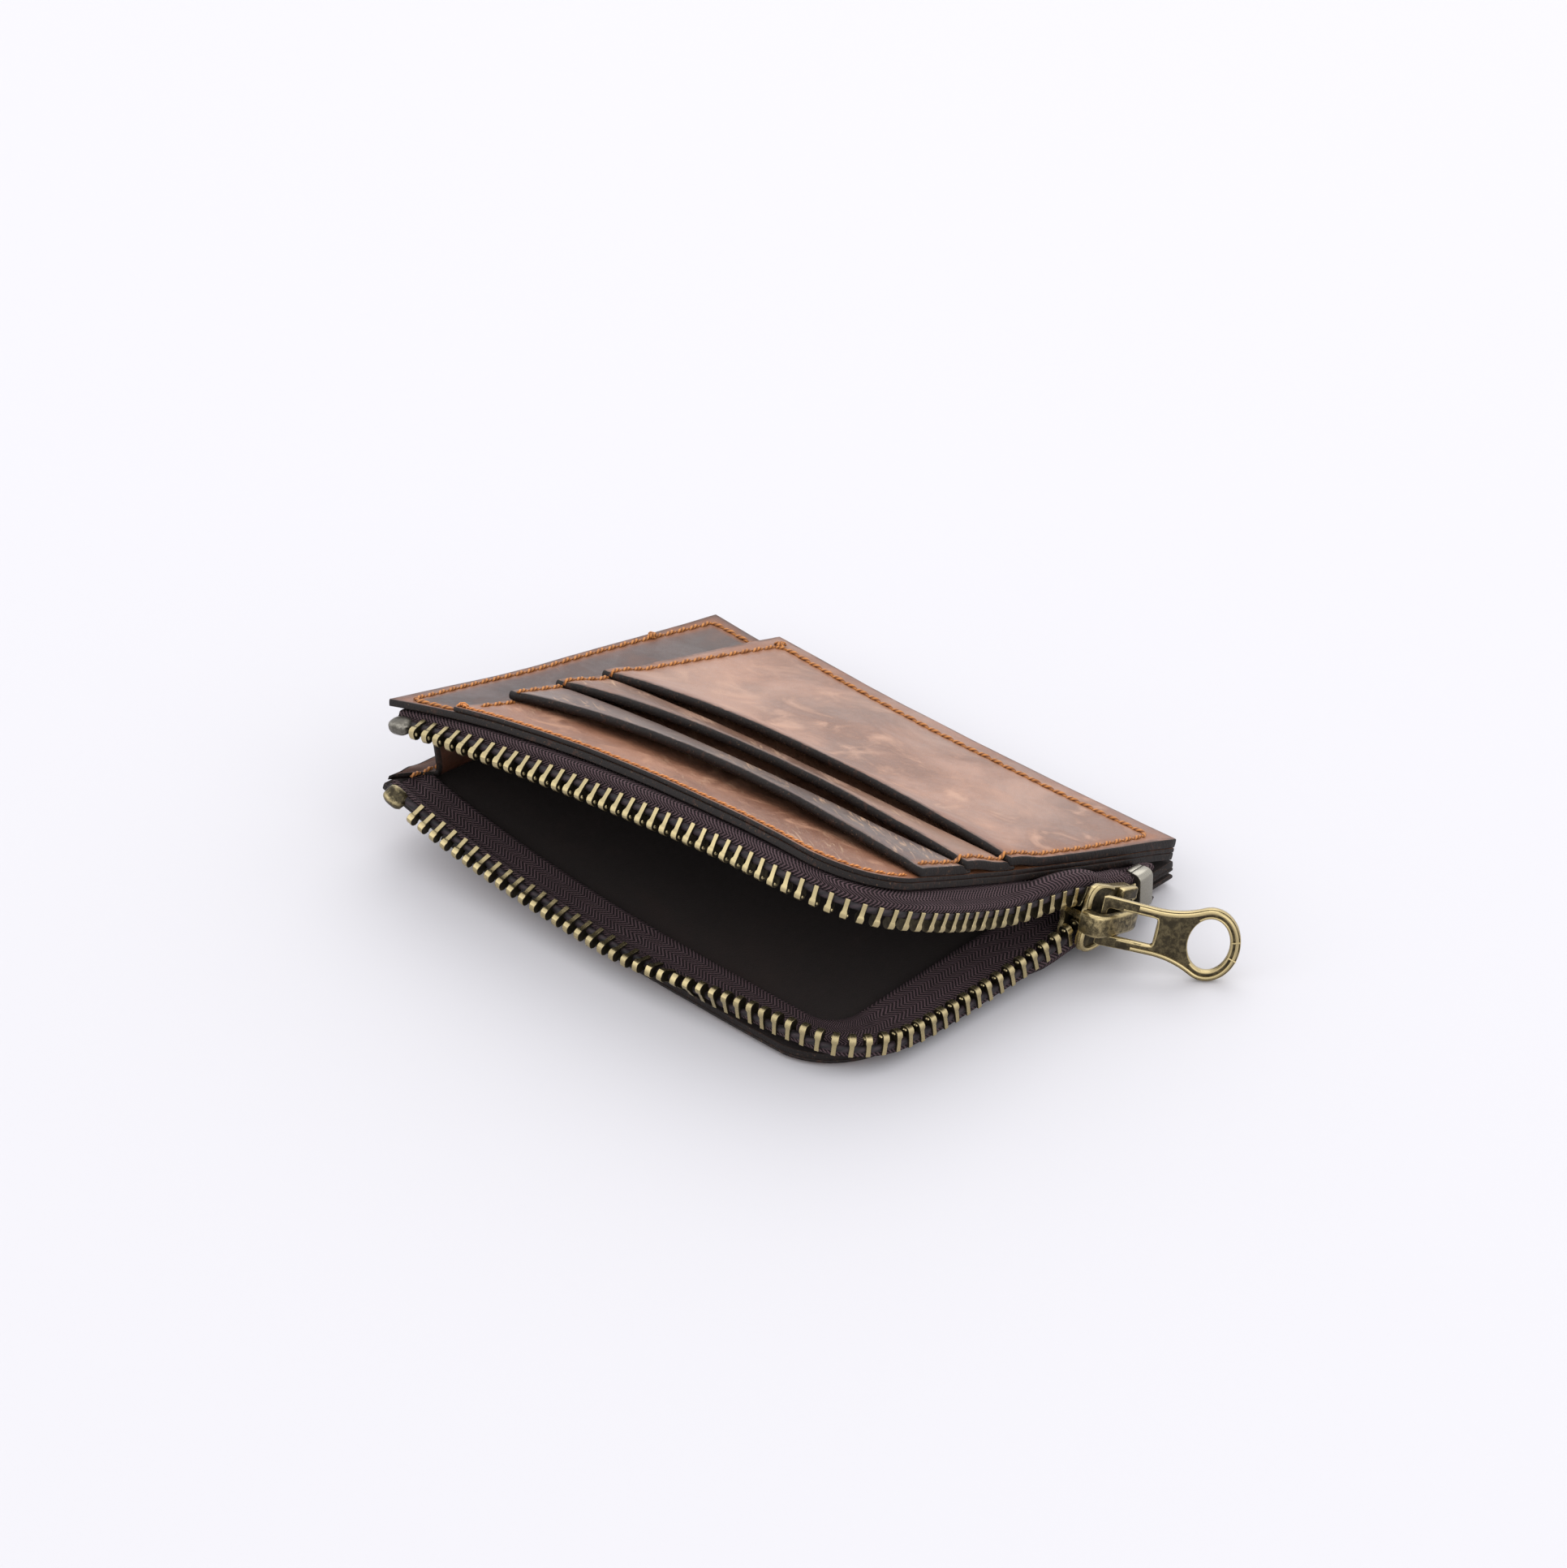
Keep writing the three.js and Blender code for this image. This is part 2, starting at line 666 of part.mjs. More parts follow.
// Extrudes a shape drawn in the slider's (length, width) plane between two outward levels.
function sliderPrism(shape, from, to) {
  const options = { depth: to - from, bevelEnabled: false, curveSegments: 6 };
  const geometry = new THREE.ExtrudeGeometry(shape, options);
  geometry.translate(0, 0, from);
  geometry.applyMatrix4(new THREE.Matrix4().set(0, 0, 1, 0, 1, 0, 0, 0, 0, 1, 0, 0, 0, 0, 0, 1));
  return geometry;
}

function plateShape() {
  const shape = new THREE.Shape();
  shape.moveTo(TAIL, -REAR_HALF_WIDTH + 1);
  shape.lineTo(TAIL, REAR_HALF_WIDTH - 1);
  shape.quadraticCurveTo(TAIL, REAR_HALF_WIDTH, TAIL - 1, REAR_HALF_WIDTH);
  shape.lineTo(0, 5.2);
  shape.quadraticCurveTo(-4.5, FRONT_HALF_WIDTH + 0.6, -6, 4.6);
  shape.quadraticCurveTo(-5.4, 2.4, NOSE, 0);
  shape.quadraticCurveTo(-5.4, -2.4, -6, -4.6);
  shape.quadraticCurveTo(-4.5, -FRONT_HALF_WIDTH - 0.6, 0, -5.2);
  shape.lineTo(TAIL - 1, -REAR_HALF_WIDTH);
  shape.quadraticCurveTo(TAIL, -REAR_HALF_WIDTH, TAIL, -REAR_HALF_WIDTH + 1);
  return shape;
}

function lipShape(side) {
  const shape = new THREE.Shape();
  shape.moveTo(TAIL - 0.6, side * (REAR_HALF_WIDTH - LIP_WIDTH));
  shape.lineTo(TAIL - 0.6, side * (REAR_HALF_WIDTH - 0.05));
  shape.lineTo(0, side * 5.15);
  shape.lineTo(-2.6, side * 5.75);
  shape.lineTo(-2.6, side * (5.75 - LIP_WIDTH));
  shape.lineTo(0, side * (5.2 - LIP_WIDTH));
  return shape;
}

function postShape() {
  const shape = new THREE.Shape();
  shape.moveTo(NOSE + 0.2, 0);
  shape.lineTo(-5.6, 0.75);
  shape.lineTo(-4.8, 0.4);
  shape.lineTo(-4.8, -0.4);
  shape.lineTo(-5.6, -0.75);
  return shape;
}

function sliderBody() {
  const outer = PLATE_INNER + PLATE_THICKNESS;
  let solid = toSolid(sliderPrism(plateShape(), PLATE_INNER, outer));
  solid = solid.add(toSolid(sliderPrism(plateShape(), -outer, -PLATE_INNER)));
  solid = solid.add(toSolid(sliderPrism(postShape(), -outer + 0.2, outer - 0.2)));
  for (const side of [-1, 1]) {
    solid = solid.add(toSolid(sliderPrism(lipShape(side), LIP_INNER, outer - 0.2)));
    solid = solid.add(toSolid(sliderPrism(lipShape(side), -outer + 0.2, -LIP_INNER)));
  }
  return toGeometry(solid);
}

const BAIL_FOOT = PLATE_INNER + PLATE_THICKNESS + 0.05;
const BAIL_TOP = 6.8;
const BAIL_HALF_WIDTH = 1.7;
const BAIL_WINDOW_TOP = 5.5;

// Bridge that the puller hooks under, extruded across the slider from its side view.
function bailGeometry() {
  const shape = new THREE.Shape();
  shape.moveTo(-6.3, BAIL_FOOT);
  shape.lineTo(-6.6, 4.4);
  shape.quadraticCurveTo(-6.2, BAIL_TOP, -4.4, BAIL_TOP);
  shape.lineTo(2.6, BAIL_TOP - 0.3);
  shape.quadraticCurveTo(4.2, BAIL_TOP - 0.4, 4.3, 4.6);
  shape.lineTo(4.3, BAIL_FOOT);
  const window = new THREE.Path();
  window.moveTo(-5.2, BAIL_FOOT + 0.4);
  window.lineTo(3.1, BAIL_FOOT + 0.4);
  window.lineTo(3.1, 4.6);
  window.lineTo(2.6, BAIL_WINDOW_TOP);
  window.lineTo(-4.7, BAIL_WINDOW_TOP);
  window.lineTo(-5.2, 4.6);
  shape.holes.push(window);
  const geometry = new THREE.ExtrudeGeometry(shape, {
    depth: 2 * BAIL_HALF_WIDTH,
    bevelEnabled: false,
    curveSegments: 5,
  });
  geometry.translate(0, 0, -BAIL_HALF_WIDTH);
  geometry.applyMatrix4(new THREE.Matrix4().set(0, 1, 0, 0, 1, 0, 0, 0, 0, 0, -1, 0, 0, 0, 0, 1));
  return toGeometry(toSolid(geometry));
}

// ---------------------------------------------------------------- puller

const PULLER_THICKNESS = 1.2;
const PULLER_HALF_WIDTH = 4.5;
const PULLER_BAR = 0.65;
const PULLER_SLOT_END = 9.5;
const PULLER_SLOT_HALF = 2.5;
const RING_CENTRE = 18.9;
const RING_HOLE = [3.5, 4.7];
const RING_BAND = 1.95;
const HINGE_AT = [4.28, -4.1, 0.5];
const PULLER_SWING = 38;
const PULLER_DROOP = 0.9;

function platePart(shape) {
  const options = { depth: PULLER_THICKNESS, bevelEnabled: false, curveSegments: 20 };
  const geometry = new THREE.ExtrudeGeometry(shape, options);
  geometry.translate(0, 0, -PULLER_THICKNESS / 2);
  return toSolid(geometry);
}

function ellipseShape(x, radiusX, radiusY) {
  const shape = new THREE.Shape();
  shape.absellipse(x, 0, radiusX, radiusY, 0, Math.PI * 2, false, 0);
  return shape;
}

// Two arms, a cross bar under the bail and a finger ring. It is drawn flat, pointing along +X.
function pullerGeometry() {
  const arms = new THREE.Shape();
  arms.moveTo(-PULLER_BAR, -PULLER_HALF_WIDTH + 0.8);
  arms.lineTo(-PULLER_BAR, PULLER_HALF_WIDTH - 0.8);
  arms.lineTo(0, PULLER_HALF_WIDTH);
  arms.lineTo(9, 4.3);
  arms.quadraticCurveTo(13, 4.3, 16, RING_HOLE[1] + RING_BAND - 0.6);
  arms.lineTo(16, -RING_HOLE[1] - RING_BAND + 0.6);
  arms.quadraticCurveTo(13, -4.3, 9, -4.3);
  arms.lineTo(0, -PULLER_HALF_WIDTH);
  const slot = new THREE.Shape();
  slot.moveTo(PULLER_BAR, -PULLER_SLOT_HALF);
  slot.lineTo(PULLER_SLOT_END, -PULLER_SLOT_HALF);
  slot.lineTo(PULLER_SLOT_END, PULLER_SLOT_HALF);
  slot.lineTo(PULLER_BAR, PULLER_SLOT_HALF);
  const ring = ellipseShape(RING_CENTRE, RING_HOLE[0] + RING_BAND, RING_HOLE[1] + RING_BAND);
  let solid = platePart(arms).add(platePart(ring));
  solid = solid.subtract(toSolid(raise(slot)));
  solid = solid.subtract(toSolid(raise(ellipseShape(RING_CENTRE, ...RING_HOLE))));
  return toGeometry(solid);
}

// Cutter that runs past both faces of the puller.
function raise(shape) {
  const depth = PULLER_THICKNESS + 2;
  const geometry = new THREE.ExtrudeGeometry(shape, { depth, bevelEnabled: false, curveSegments: 20 });
  return geometry.translate(0, 0, -depth / 2);
}

// ---------------------------------------------------------------- assembly

for (const [side, shell] of [["front", frontShell], ["back", backShell]]) {
  addMesh(`${side}_panel`, bodyPanel(shell), DARK_LEATHER);
  addMesh(`${side}_card_backing`, cardBacking(shell), LEATHER);
  for (let number = 0; number < SLOT_MOUTHS.length; number += 1) {
    addMesh(`${side}_card_slot_${number + 1}`, cardSlot(shell, number), LEATHER);
  }
}
addMesh("front_card_thread", threadGeometry(frontShell, cardThreadPlaces()), THREAD);
addMesh("front_zip_thread", threadGeometry(frontShell, zipThreadPlaces()), THREAD);
addMesh("front_strip_thread", threadGeometry(frontShell, stripThreadPlaces()), THREAD);

addMesh("front_zip_tape", tapeGeometry(frontChain, 44), TAPE_CLOTH);
addMesh("back_zip_tape", tapeGeometry(backChain, 44), TAPE_CLOTH);
addMesh("gusset", gussetGeometry(), RED_LEATHER);

// The back row has no teeth left between the slider's tail and the end stop.
const ROW_START = CHAIN_START + 0.3;
const FRONT_ROW_TAIL = 4.35;
const BACK_ROW_TAIL = FRONT_ROW_TAIL - 1.5 * TOOTH_PITCH;
const rows = [
  ["front", frontChain, FRONT_ROW_TAIL],
  ["back", backChain, BACK_ROW_TAIL],
];
for (const [side, chain, tail] of rows) {
  addMesh(`${side}_tooth_row`, toothRow(chain, ROW_START, chain.sliderTail + tail), BRASS);
  const stop = chainBlock(chain, CHAIN_START - STOP_LENGTH, CHAIN_START, -TOOTH_REAR, 2.6, 2.9);
  addMesh(`${side}_top_stop`, stop, side === "front" ? STEEL : BRASS);
}

const slider = new THREE.Group();
slider.position.copy(sliderCentre);
slider.rotation.x = -SLIDER_PITCH;
pouch.add(slider);
addMesh("slider_body", sliderBody(), BRASS, slider);
addMesh("slider_bail", bailGeometry(), BRASS, slider);

const endStop = new THREE.BoxGeometry(3.2, 3.4, 2 * BEAD_SPREAD + 2.1);
const endStopMesh = addMesh("end_stop", endStop, STEEL);
endStopMesh.position.copy(sliderPoint(0, SLIDER_LENGTH / 2, 0));
endStopMesh.position.y += 5.5;

const pullerMount = new THREE.Group();
pullerMount.position.set(...HINGE_AT);
pullerMount.rotation.z = THREE.MathUtils.degToRad(PULLER_SWING);
pullerMount.rotation.order = "ZYX";
pullerMount.rotation.y = THREE.MathUtils.degToRad(PULLER_DROOP);
slider.add(pullerMount);
const puller = addMesh("puller", pullerGeometry(), BRASS, pullerMount);
puller.rotation.x = Math.PI / 2;

export default pouch;
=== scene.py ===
"""Looks of the zippered card pouch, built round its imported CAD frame.

Lengths inside the geometry functions are millimetres, and build() turns them into metres.
The two leather shells are the same bent sheets as in the CAD part: a control net of heights
over the flat sheet, whose own length is kept, so that its plan gets shorter where it rises.
"""

import json
import math
import random

import bmesh
import bpy
import numpy as np
from mathutils import Matrix, Vector, noise


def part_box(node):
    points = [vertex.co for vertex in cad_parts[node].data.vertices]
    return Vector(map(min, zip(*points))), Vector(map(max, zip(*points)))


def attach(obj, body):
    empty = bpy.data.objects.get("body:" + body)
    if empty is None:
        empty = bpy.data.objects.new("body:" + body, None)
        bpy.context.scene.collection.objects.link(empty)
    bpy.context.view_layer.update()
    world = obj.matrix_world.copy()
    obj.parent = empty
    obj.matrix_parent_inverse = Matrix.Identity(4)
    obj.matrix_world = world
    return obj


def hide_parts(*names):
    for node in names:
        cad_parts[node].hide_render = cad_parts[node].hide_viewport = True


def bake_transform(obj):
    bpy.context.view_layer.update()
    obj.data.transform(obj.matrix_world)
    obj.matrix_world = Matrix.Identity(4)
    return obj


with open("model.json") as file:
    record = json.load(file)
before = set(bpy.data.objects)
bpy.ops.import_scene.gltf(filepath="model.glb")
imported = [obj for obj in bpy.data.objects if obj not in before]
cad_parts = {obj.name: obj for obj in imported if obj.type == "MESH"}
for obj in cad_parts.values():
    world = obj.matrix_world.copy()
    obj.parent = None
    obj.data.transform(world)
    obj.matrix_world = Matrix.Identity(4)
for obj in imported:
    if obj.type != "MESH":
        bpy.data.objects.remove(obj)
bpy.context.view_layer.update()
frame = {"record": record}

random.seed(7)

# ---------------------------------------------------------------- driving dimensions

MM = 0.001
LENGTH = 110.0
WIDTH = 85.0
CORNER_RADIUS = 14.5
HALF_LENGTH = LENGTH / 2
BACK = WIDTH / 2
BODY = 1.3
CARD_LEFT = -40.0
SLOT_MOUTHS = [14.5, 26.5, 38.5]
SLOT_OVERLAP = 2.0
STITCH_MARGIN = 3.0
STITCH_PITCH = 3.0

FRONT_HEIGHTS = [
    [28.5, 20, 14, 8.1],
    [37.5, 23, 18, 5.2],
    [38.5, 23, 17, 5.3],
    [38, 26, 16.5, 6.5],
]
BACK_HEIGHTS = [
    [11, 9.5, 7, 5],
    [1.2, -0.9, -1.7, 2],
    [1.8, 3, 3.6, 2.2],
    [1.2, 3.2, 3.6, 3.4],
]


# ---------------------------------------------------------------- bent shells


def bezier_weights(t):
    """Weights of the four control heights of a cubic Bezier curve."""
    s = 1 - t
    return np.stack([s**3, 3 * s * s * t, 3 * s * t * t, t**3], -1)


class Shell:
    """One leather shell: its bent middle surface and the layers on its outside."""

    def __init__(self, net, outward, pressed_flat, gap, backing, slot, mouth_lift):
        self.net = np.array(net, float)
        self.outward = outward
        self.pressed_flat = pressed_flat
        self.gap = gap
        self.backing = backing
        self.slot = slot
        self.mouth_lift = mouth_lift
        self.tucked = 2 * gap + backing
        self.skived = min(slot, 0.7)
        self.lipped = self.tucked + gap + self.skived

    def height(self, u, v):
        along = bezier_weights((u + HALF_LENGTH) / LENGTH)
        across = bezier_weights((v + BACK) / WIDTH)
        return np.einsum("...i,ij,...j->...", along, self.net, across)

    def middle(self, u, v):
        share = np.linspace(0, 1, 17)
        rises = np.diff(self.height(u[..., None] * share, v[..., None] + 0 * share))
        step = (u / 16)[..., None]
        x = np.sqrt(np.maximum(step**2 - rises**2, 0)).sum(-1) * np.sign(u)
        run = (BACK - v)[..., None]
        rises = np.diff(self.height(u[..., None] + 0 * share, v[..., None] + run * share))
        y = BACK - np.sqrt(np.maximum((run / 16) ** 2 - rises**2, 0)).sum(-1) * np.sign(BACK - v)
        return np.stack([x, y, self.height(u, v)], -1)

    def normal(self, u, v):
        along = self.middle(u + 0.5, v) - self.middle(u - 0.5, v)
        across = self.middle(u, v + 0.5) - self.middle(u, v - 0.5)
        n = np.cross(along, across)
        return n / np.linalg.norm(n, axis=-1, keepdims=True)

    def point(self, u, v, out):
        """Points at a distance out of the middle surface, towards the pouch's outside."""
        u, v, out = np.broadcast_arrays(*(np.asarray(a, float) for a in (u, v, out)))
        p = self.middle(u, v) + self.normal(u, v) * (self.outward * out)[..., None]
        if self.pressed_flat:
            p[..., 2] = np.maximum(p[..., 2], 0.02)
        return p

    def slot_inner(self, number, u, v):
        """Level of a slot's inner face: its mouth gapes, and behind it the layer sinks."""
        behind = v + BACK - SLOT_MOUTHS[number]
        start = self.tucked if number == 0 else self.lipped
        level = SLOT_OVERLAP + 0.5
        sink = np.clip((behind - level) / (10 - level), 0, 1)
        sink = sink * sink * (3 - 2 * sink)
        if self.pressed_flat and number == len(SLOT_MOUTHS) - 1:
            sink = 0 * sink
        span = np.clip((u - CARD_LEFT) / (HALF_LENGTH - CARD_LEFT), 0, 1)
        gape = np.clip(1 - behind / 10, 0, 1) ** 1.5
        return start + (self.tucked - start) * sink + self.mouth_lift * gape * 4 * span * (1 - span)

    def slot_outer(self, number, u, v):
        """Level of a slot's outer face: its back end is skived thin under the next mouth."""
        thick = self.slot + 0 * v
        if number < len(SLOT_MOUTHS) - 1:
            end = SLOT_MOUTHS[number + 1] - BACK + SLOT_OVERLAP
            share = np.clip((v - end + SLOT_OVERLAP + 0.6) / 1.4, 0, 1)
            thick = self.slot - (self.slot - self.skived) * share * share * (3 - 2 * share)
        return self.slot_inner(number, u, v) + thick

    def outer_face(self, u, v):
        """Level of whatever lies outermost."""
        level = np.where(u < CARD_LEFT, 0.0, self.gap + self.backing)
        for number, mouth in enumerate(SLOT_MOUTHS):
            covered = (u >= CARD_LEFT) & (v + BACK >= mouth)
            level = np.where(covered, self.slot_outer(number, u, v), level)
        return level


FRONT = Shell(FRONT_HEIGHTS, 1, False, gap=0.03, backing=0.85, slot=1.7, mouth_lift=2.3)
REAR = Shell(BACK_HEIGHTS, -1, True, gap=0.03, backing=0.67, slot=0.8, mouth_lift=0.0)


def right_limit(v, radius_inset=0.0):
    """Right-hand limit of the outline at v: straight, then round at the zipped corner."""
    radius = CORNER_RADIUS - radius_inset
    from_corner = np.minimum(v + BACK - CORNER_RADIUS, 0)
    across = np.sqrt(np.maximum(radius**2 - from_corner**2, 0))
    return HALF_LENGTH - CORNER_RADIUS + across


# ---------------------------------------------------------------- meshes


def build(name, points, faces, material, uv=None, values=None, smooth=True):
    """Mesh object from points in millimetres, with texture places and named vertex values."""
    mesh = bpy.data.meshes.new(name)
    mesh.from_pydata((np.asarray(points, float) * MM).tolist(), [], [list(f) for f in faces])
    if uv is not None:
        layer = mesh.uv_layers.new(name="UVMap")
        loops = np.empty(len(mesh.loops), np.int32)
        mesh.loops.foreach_get("vertex_index", loops)
        layer.data.foreach_set("uv", np.asarray(uv, np.float32)[loops].ravel())
    for key, numbers in (values or {}).items():
        attribute = mesh.attributes.new(key, "FLOAT", "POINT")
        attribute.data.foreach_set("value", np.asarray(numbers, np.float32))
    mesh.polygons.foreach_set("use_smooth", [smooth] * len(mesh.polygons))
    mesh.materials.append(material)
    piece = bpy.data.objects.new(name, mesh)
    bpy.context.scene.collection.objects.link(piece)
    fix = bmesh.new()
    fix.from_mesh(mesh)
    bmesh.ops.recalc_face_normals(fix, faces=fix.faces)
    fix.to_mesh(mesh)
    fix.free()
    return piece


def ring_faces(rings, size, first=0):
    """Faces between rings of points one after another, and a cap on each end."""
    faces = []
    for k in range(first, first + (rings - 1) * size, size):
        for s in range(size):
            m = (s + 1) % size
            faces.append((k + s, k + m, k + size + m, k + size + s))
    last = first + (rings - 1) * size
    return faces + [tuple(range(first, first + size))[::-1], tuple(range(last, last + size))]


def grid_faces(count_i, count_j, other_side):
    """Faces of a grid of points, and those of its other side that starts at other_side."""
    faces = []
    for i in range(count_i - 1):
        for j in range(count_j - 1):
            a = i * count_j + j
            quad = (a, a + count_j, a + count_j + 1, a + 1)
            faces += [quad, tuple(other_side + q for q in reversed(quad))]
    return faces


def slab_faces(count_i, count_j):
    """Faces of a grid of points, of the same grid again as its other side, and of their rim."""
    size = count_i * count_j
    ring = [i * count_j + j for i, j in rim_order(count_i, count_j)]
    rim = [(a, size + a, size + b, b) for a, b in zip(ring, ring[1:] + ring[:1])]
    return grid_faces(count_i, count_j, size) + rim


def rim_order(count_i, count_j):
    """Grid places once round the rim."""
    order = [(i, 0) for i in range(count_i)] + [(count_i - 1, j) for j in range(1, count_j)]
    order += [(i, count_j - 1) for i in range(count_i - 2, -1, -1)]
    return order + [(0, j) for j in range(count_j - 2, 0, -1)]


def crisp(piece, angle):
    """Keeps the edges sharper than an angle in degrees crisp."""
    piece.data.set_sharp_from_angle(angle=math.radians(angle))


def wave(u, v, seed):
    """Gentle unevenness of the hide over the sheet, in millimetres."""
    flat = np.empty(u.shape)
    for at in np.ndindex(u.shape):
        a = noise.noise(Vector((u[at] * 0.045, v[at] * 0.045, seed)))
        b = noise.noise(Vector((u[at] * 0.16, v[at] * 0.16, seed + 9)))
        flat[at] = 0.22 * a + 0.05 * b
    return flat


def distance_to_path(u, v, path):
    """Distance of every place from a broken line."""
    best = np.full(u.shape, 1e9)
    for (u0, v0), (u1, v1) in zip(path[:-1], path[1:]):
        du, dv = u1 - u0, v1 - v0
        size = max(du * du + dv * dv, 1e-9)
        t = np.clip(((u - u0) * du + (v - v0) * dv) / size, 0, 1)
        best = np.minimum(best, np.hypot(u - u0 - t * du, v - v0 - t * dv))
    return best


NO_SEAM = 9.0
CELL = 0.95
SEAM_DEPTH = 0.16
SEAM_SPREAD = 1.1
OTHER_SIDE_UV = 200


def layer_grid(left, v0, v1, rim, mouth):
    """Even grid over a layer inside its rounded edges, closer together at the bent front edge."""
    rows = max(int((v1 - v0) / CELL), 4)
    columns = int((HALF_LENGTH - left) / CELL)
    v_line = np.linspace(v0 + mouth, v1 - rim, rows + 1)
    if v0 < 1 - BACK:
        eased = v0 + mouth + np.concatenate([[0], np.linspace(0, 1, 9)[1:] ** 2 * 5])
        v_line = np.concatenate([eased, v_line[v_line > v0 + mouth + 5.3]])
    u_line = np.linspace(0, 1, columns + 1)
    limit = np.minimum(right_limit(v_line, rim), HALF_LENGTH - rim)
    u = (left + rim) + u_line[:, None] * (limit - left - rim)[None, :]
    return u, np.repeat(v_line[None, :], columns + 1, 0)


def edge_profile(round_off):
    """Rings down a rounded edge: offset outwards, depth for a thickness, amount of paint."""
    turns = [math.radians(a) for a in (30, 60, 90)]
    round_rim = [(math.sin(a), 1 - math.cos(a), 0.45 if a < 0.6 else 1.0) for a in turns]
    rings = [(o, lambda t, d=d: d * round_off, p) for o, d, p in round_rim]
    rings.append((1.1, lambda t: t / 2, 1.0))
    return rings + [(o, lambda t, d=d: t - d * round_off, p) for o, d, p in round_rim[::-1]]


def layer_piece(name, node, body, shell, limits, levels, material, rim, mouth, seams):
    """A leather layer: a slab with rounded, painted edges over part of a shell.

    limits is (left, first v, last v); levels gives the inner and outer level at (u, v). The
    edges are rounded over rim, and the edge that faces the zipper over mouth.
    """
    u, v = layer_grid(*limits, rim, mouth)
    inner, outer = levels(u, v)
    ripple = wave(u, v, shell.outward)
    seam = np.full(u.shape, NO_SEAM)
    for path in seams:
        seam = np.minimum(seam, distance_to_path(u, v, path))
    top_level = outer + ripple - SEAM_DEPTH * np.exp(-((seam / SEAM_SPREAD) ** 2))
    order = rim_order(*u.shape)
    at = tuple(np.array(order).T)
    ring_u, ring_v = u[at], v[at]
    du = np.roll(ring_u, -1) - np.roll(ring_u, 1)
    dv = np.roll(ring_v, -1) - np.roll(ring_v, 1)
    away_u, away_v = dv / np.hypot(du, dv), -du / np.hypot(du, dv)
    thick, top = (outer - inner)[at], top_level[at]
    edge = distance_to_path(u, v, list(zip(ring_u, ring_v)) + [(ring_u[0], ring_v[0])]).ravel()
    points, uv = [], []
    values = {"paint": [], "edge": [], "flesh": [], "seam": []}

    def put(places, texture, **looks):
        points.append(places)
        uv.append(texture)
        for key, numbers in looks.items():
            values[key].append(np.broadcast_to(numbers, len(places)))

    flat = np.stack([u, v], -1).reshape(-1, 2)
    face = shell.point(u, v, top_level).reshape(-1, 3)
    put(face, flat, paint=0.0, edge=edge, flesh=0.0, seam=seam.ravel())
    round_off = np.where(at[1] == 0, mouth, rim)
    profile = edge_profile(round_off)
    for offset, depth, painted in profile:
        pu, pv = ring_u + away_u * offset * round_off, ring_v + away_v * offset * round_off
        texture = np.stack([pu, pv - 0.7 * depth(thick)], -1)
        places = shell.point(pu, pv, top - depth(thick))
        put(places, texture, paint=painted, edge=0.0, flesh=0.0, seam=NO_SEAM)
    under = shell.point(u, v, inner + ripple).reshape(-1, 3)
    put(under, flat + OTHER_SIDE_UV, paint=0.0, edge=edge, flesh=1.0, seam=NO_SEAM)
    loop = len(order)
    underside = u.size + len(profile) * loop
    faces = grid_faces(*u.shape, underside)
    first = [i * u.shape[1] + j for i, j in order]
    rings = [first] + [[u.size + k * loop + n for n in range(loop)] for k in range(len(profile))]
    rings.append([underside + c for c in first])
    for a, b in zip(rings[:-1], rings[1:]):
        faces += [(a[n - 1], b[n - 1], b[n], a[n]) for n in range(loop)]
    values = {key: np.concatenate(numbers) for key, numbers in values.items()}
    piece = build(name, np.concatenate(points), faces, material, np.concatenate(uv) * MM, values)
    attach(piece, body)
    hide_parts(node)
    return piece


# ---------------------------------------------------------------- shader helpers


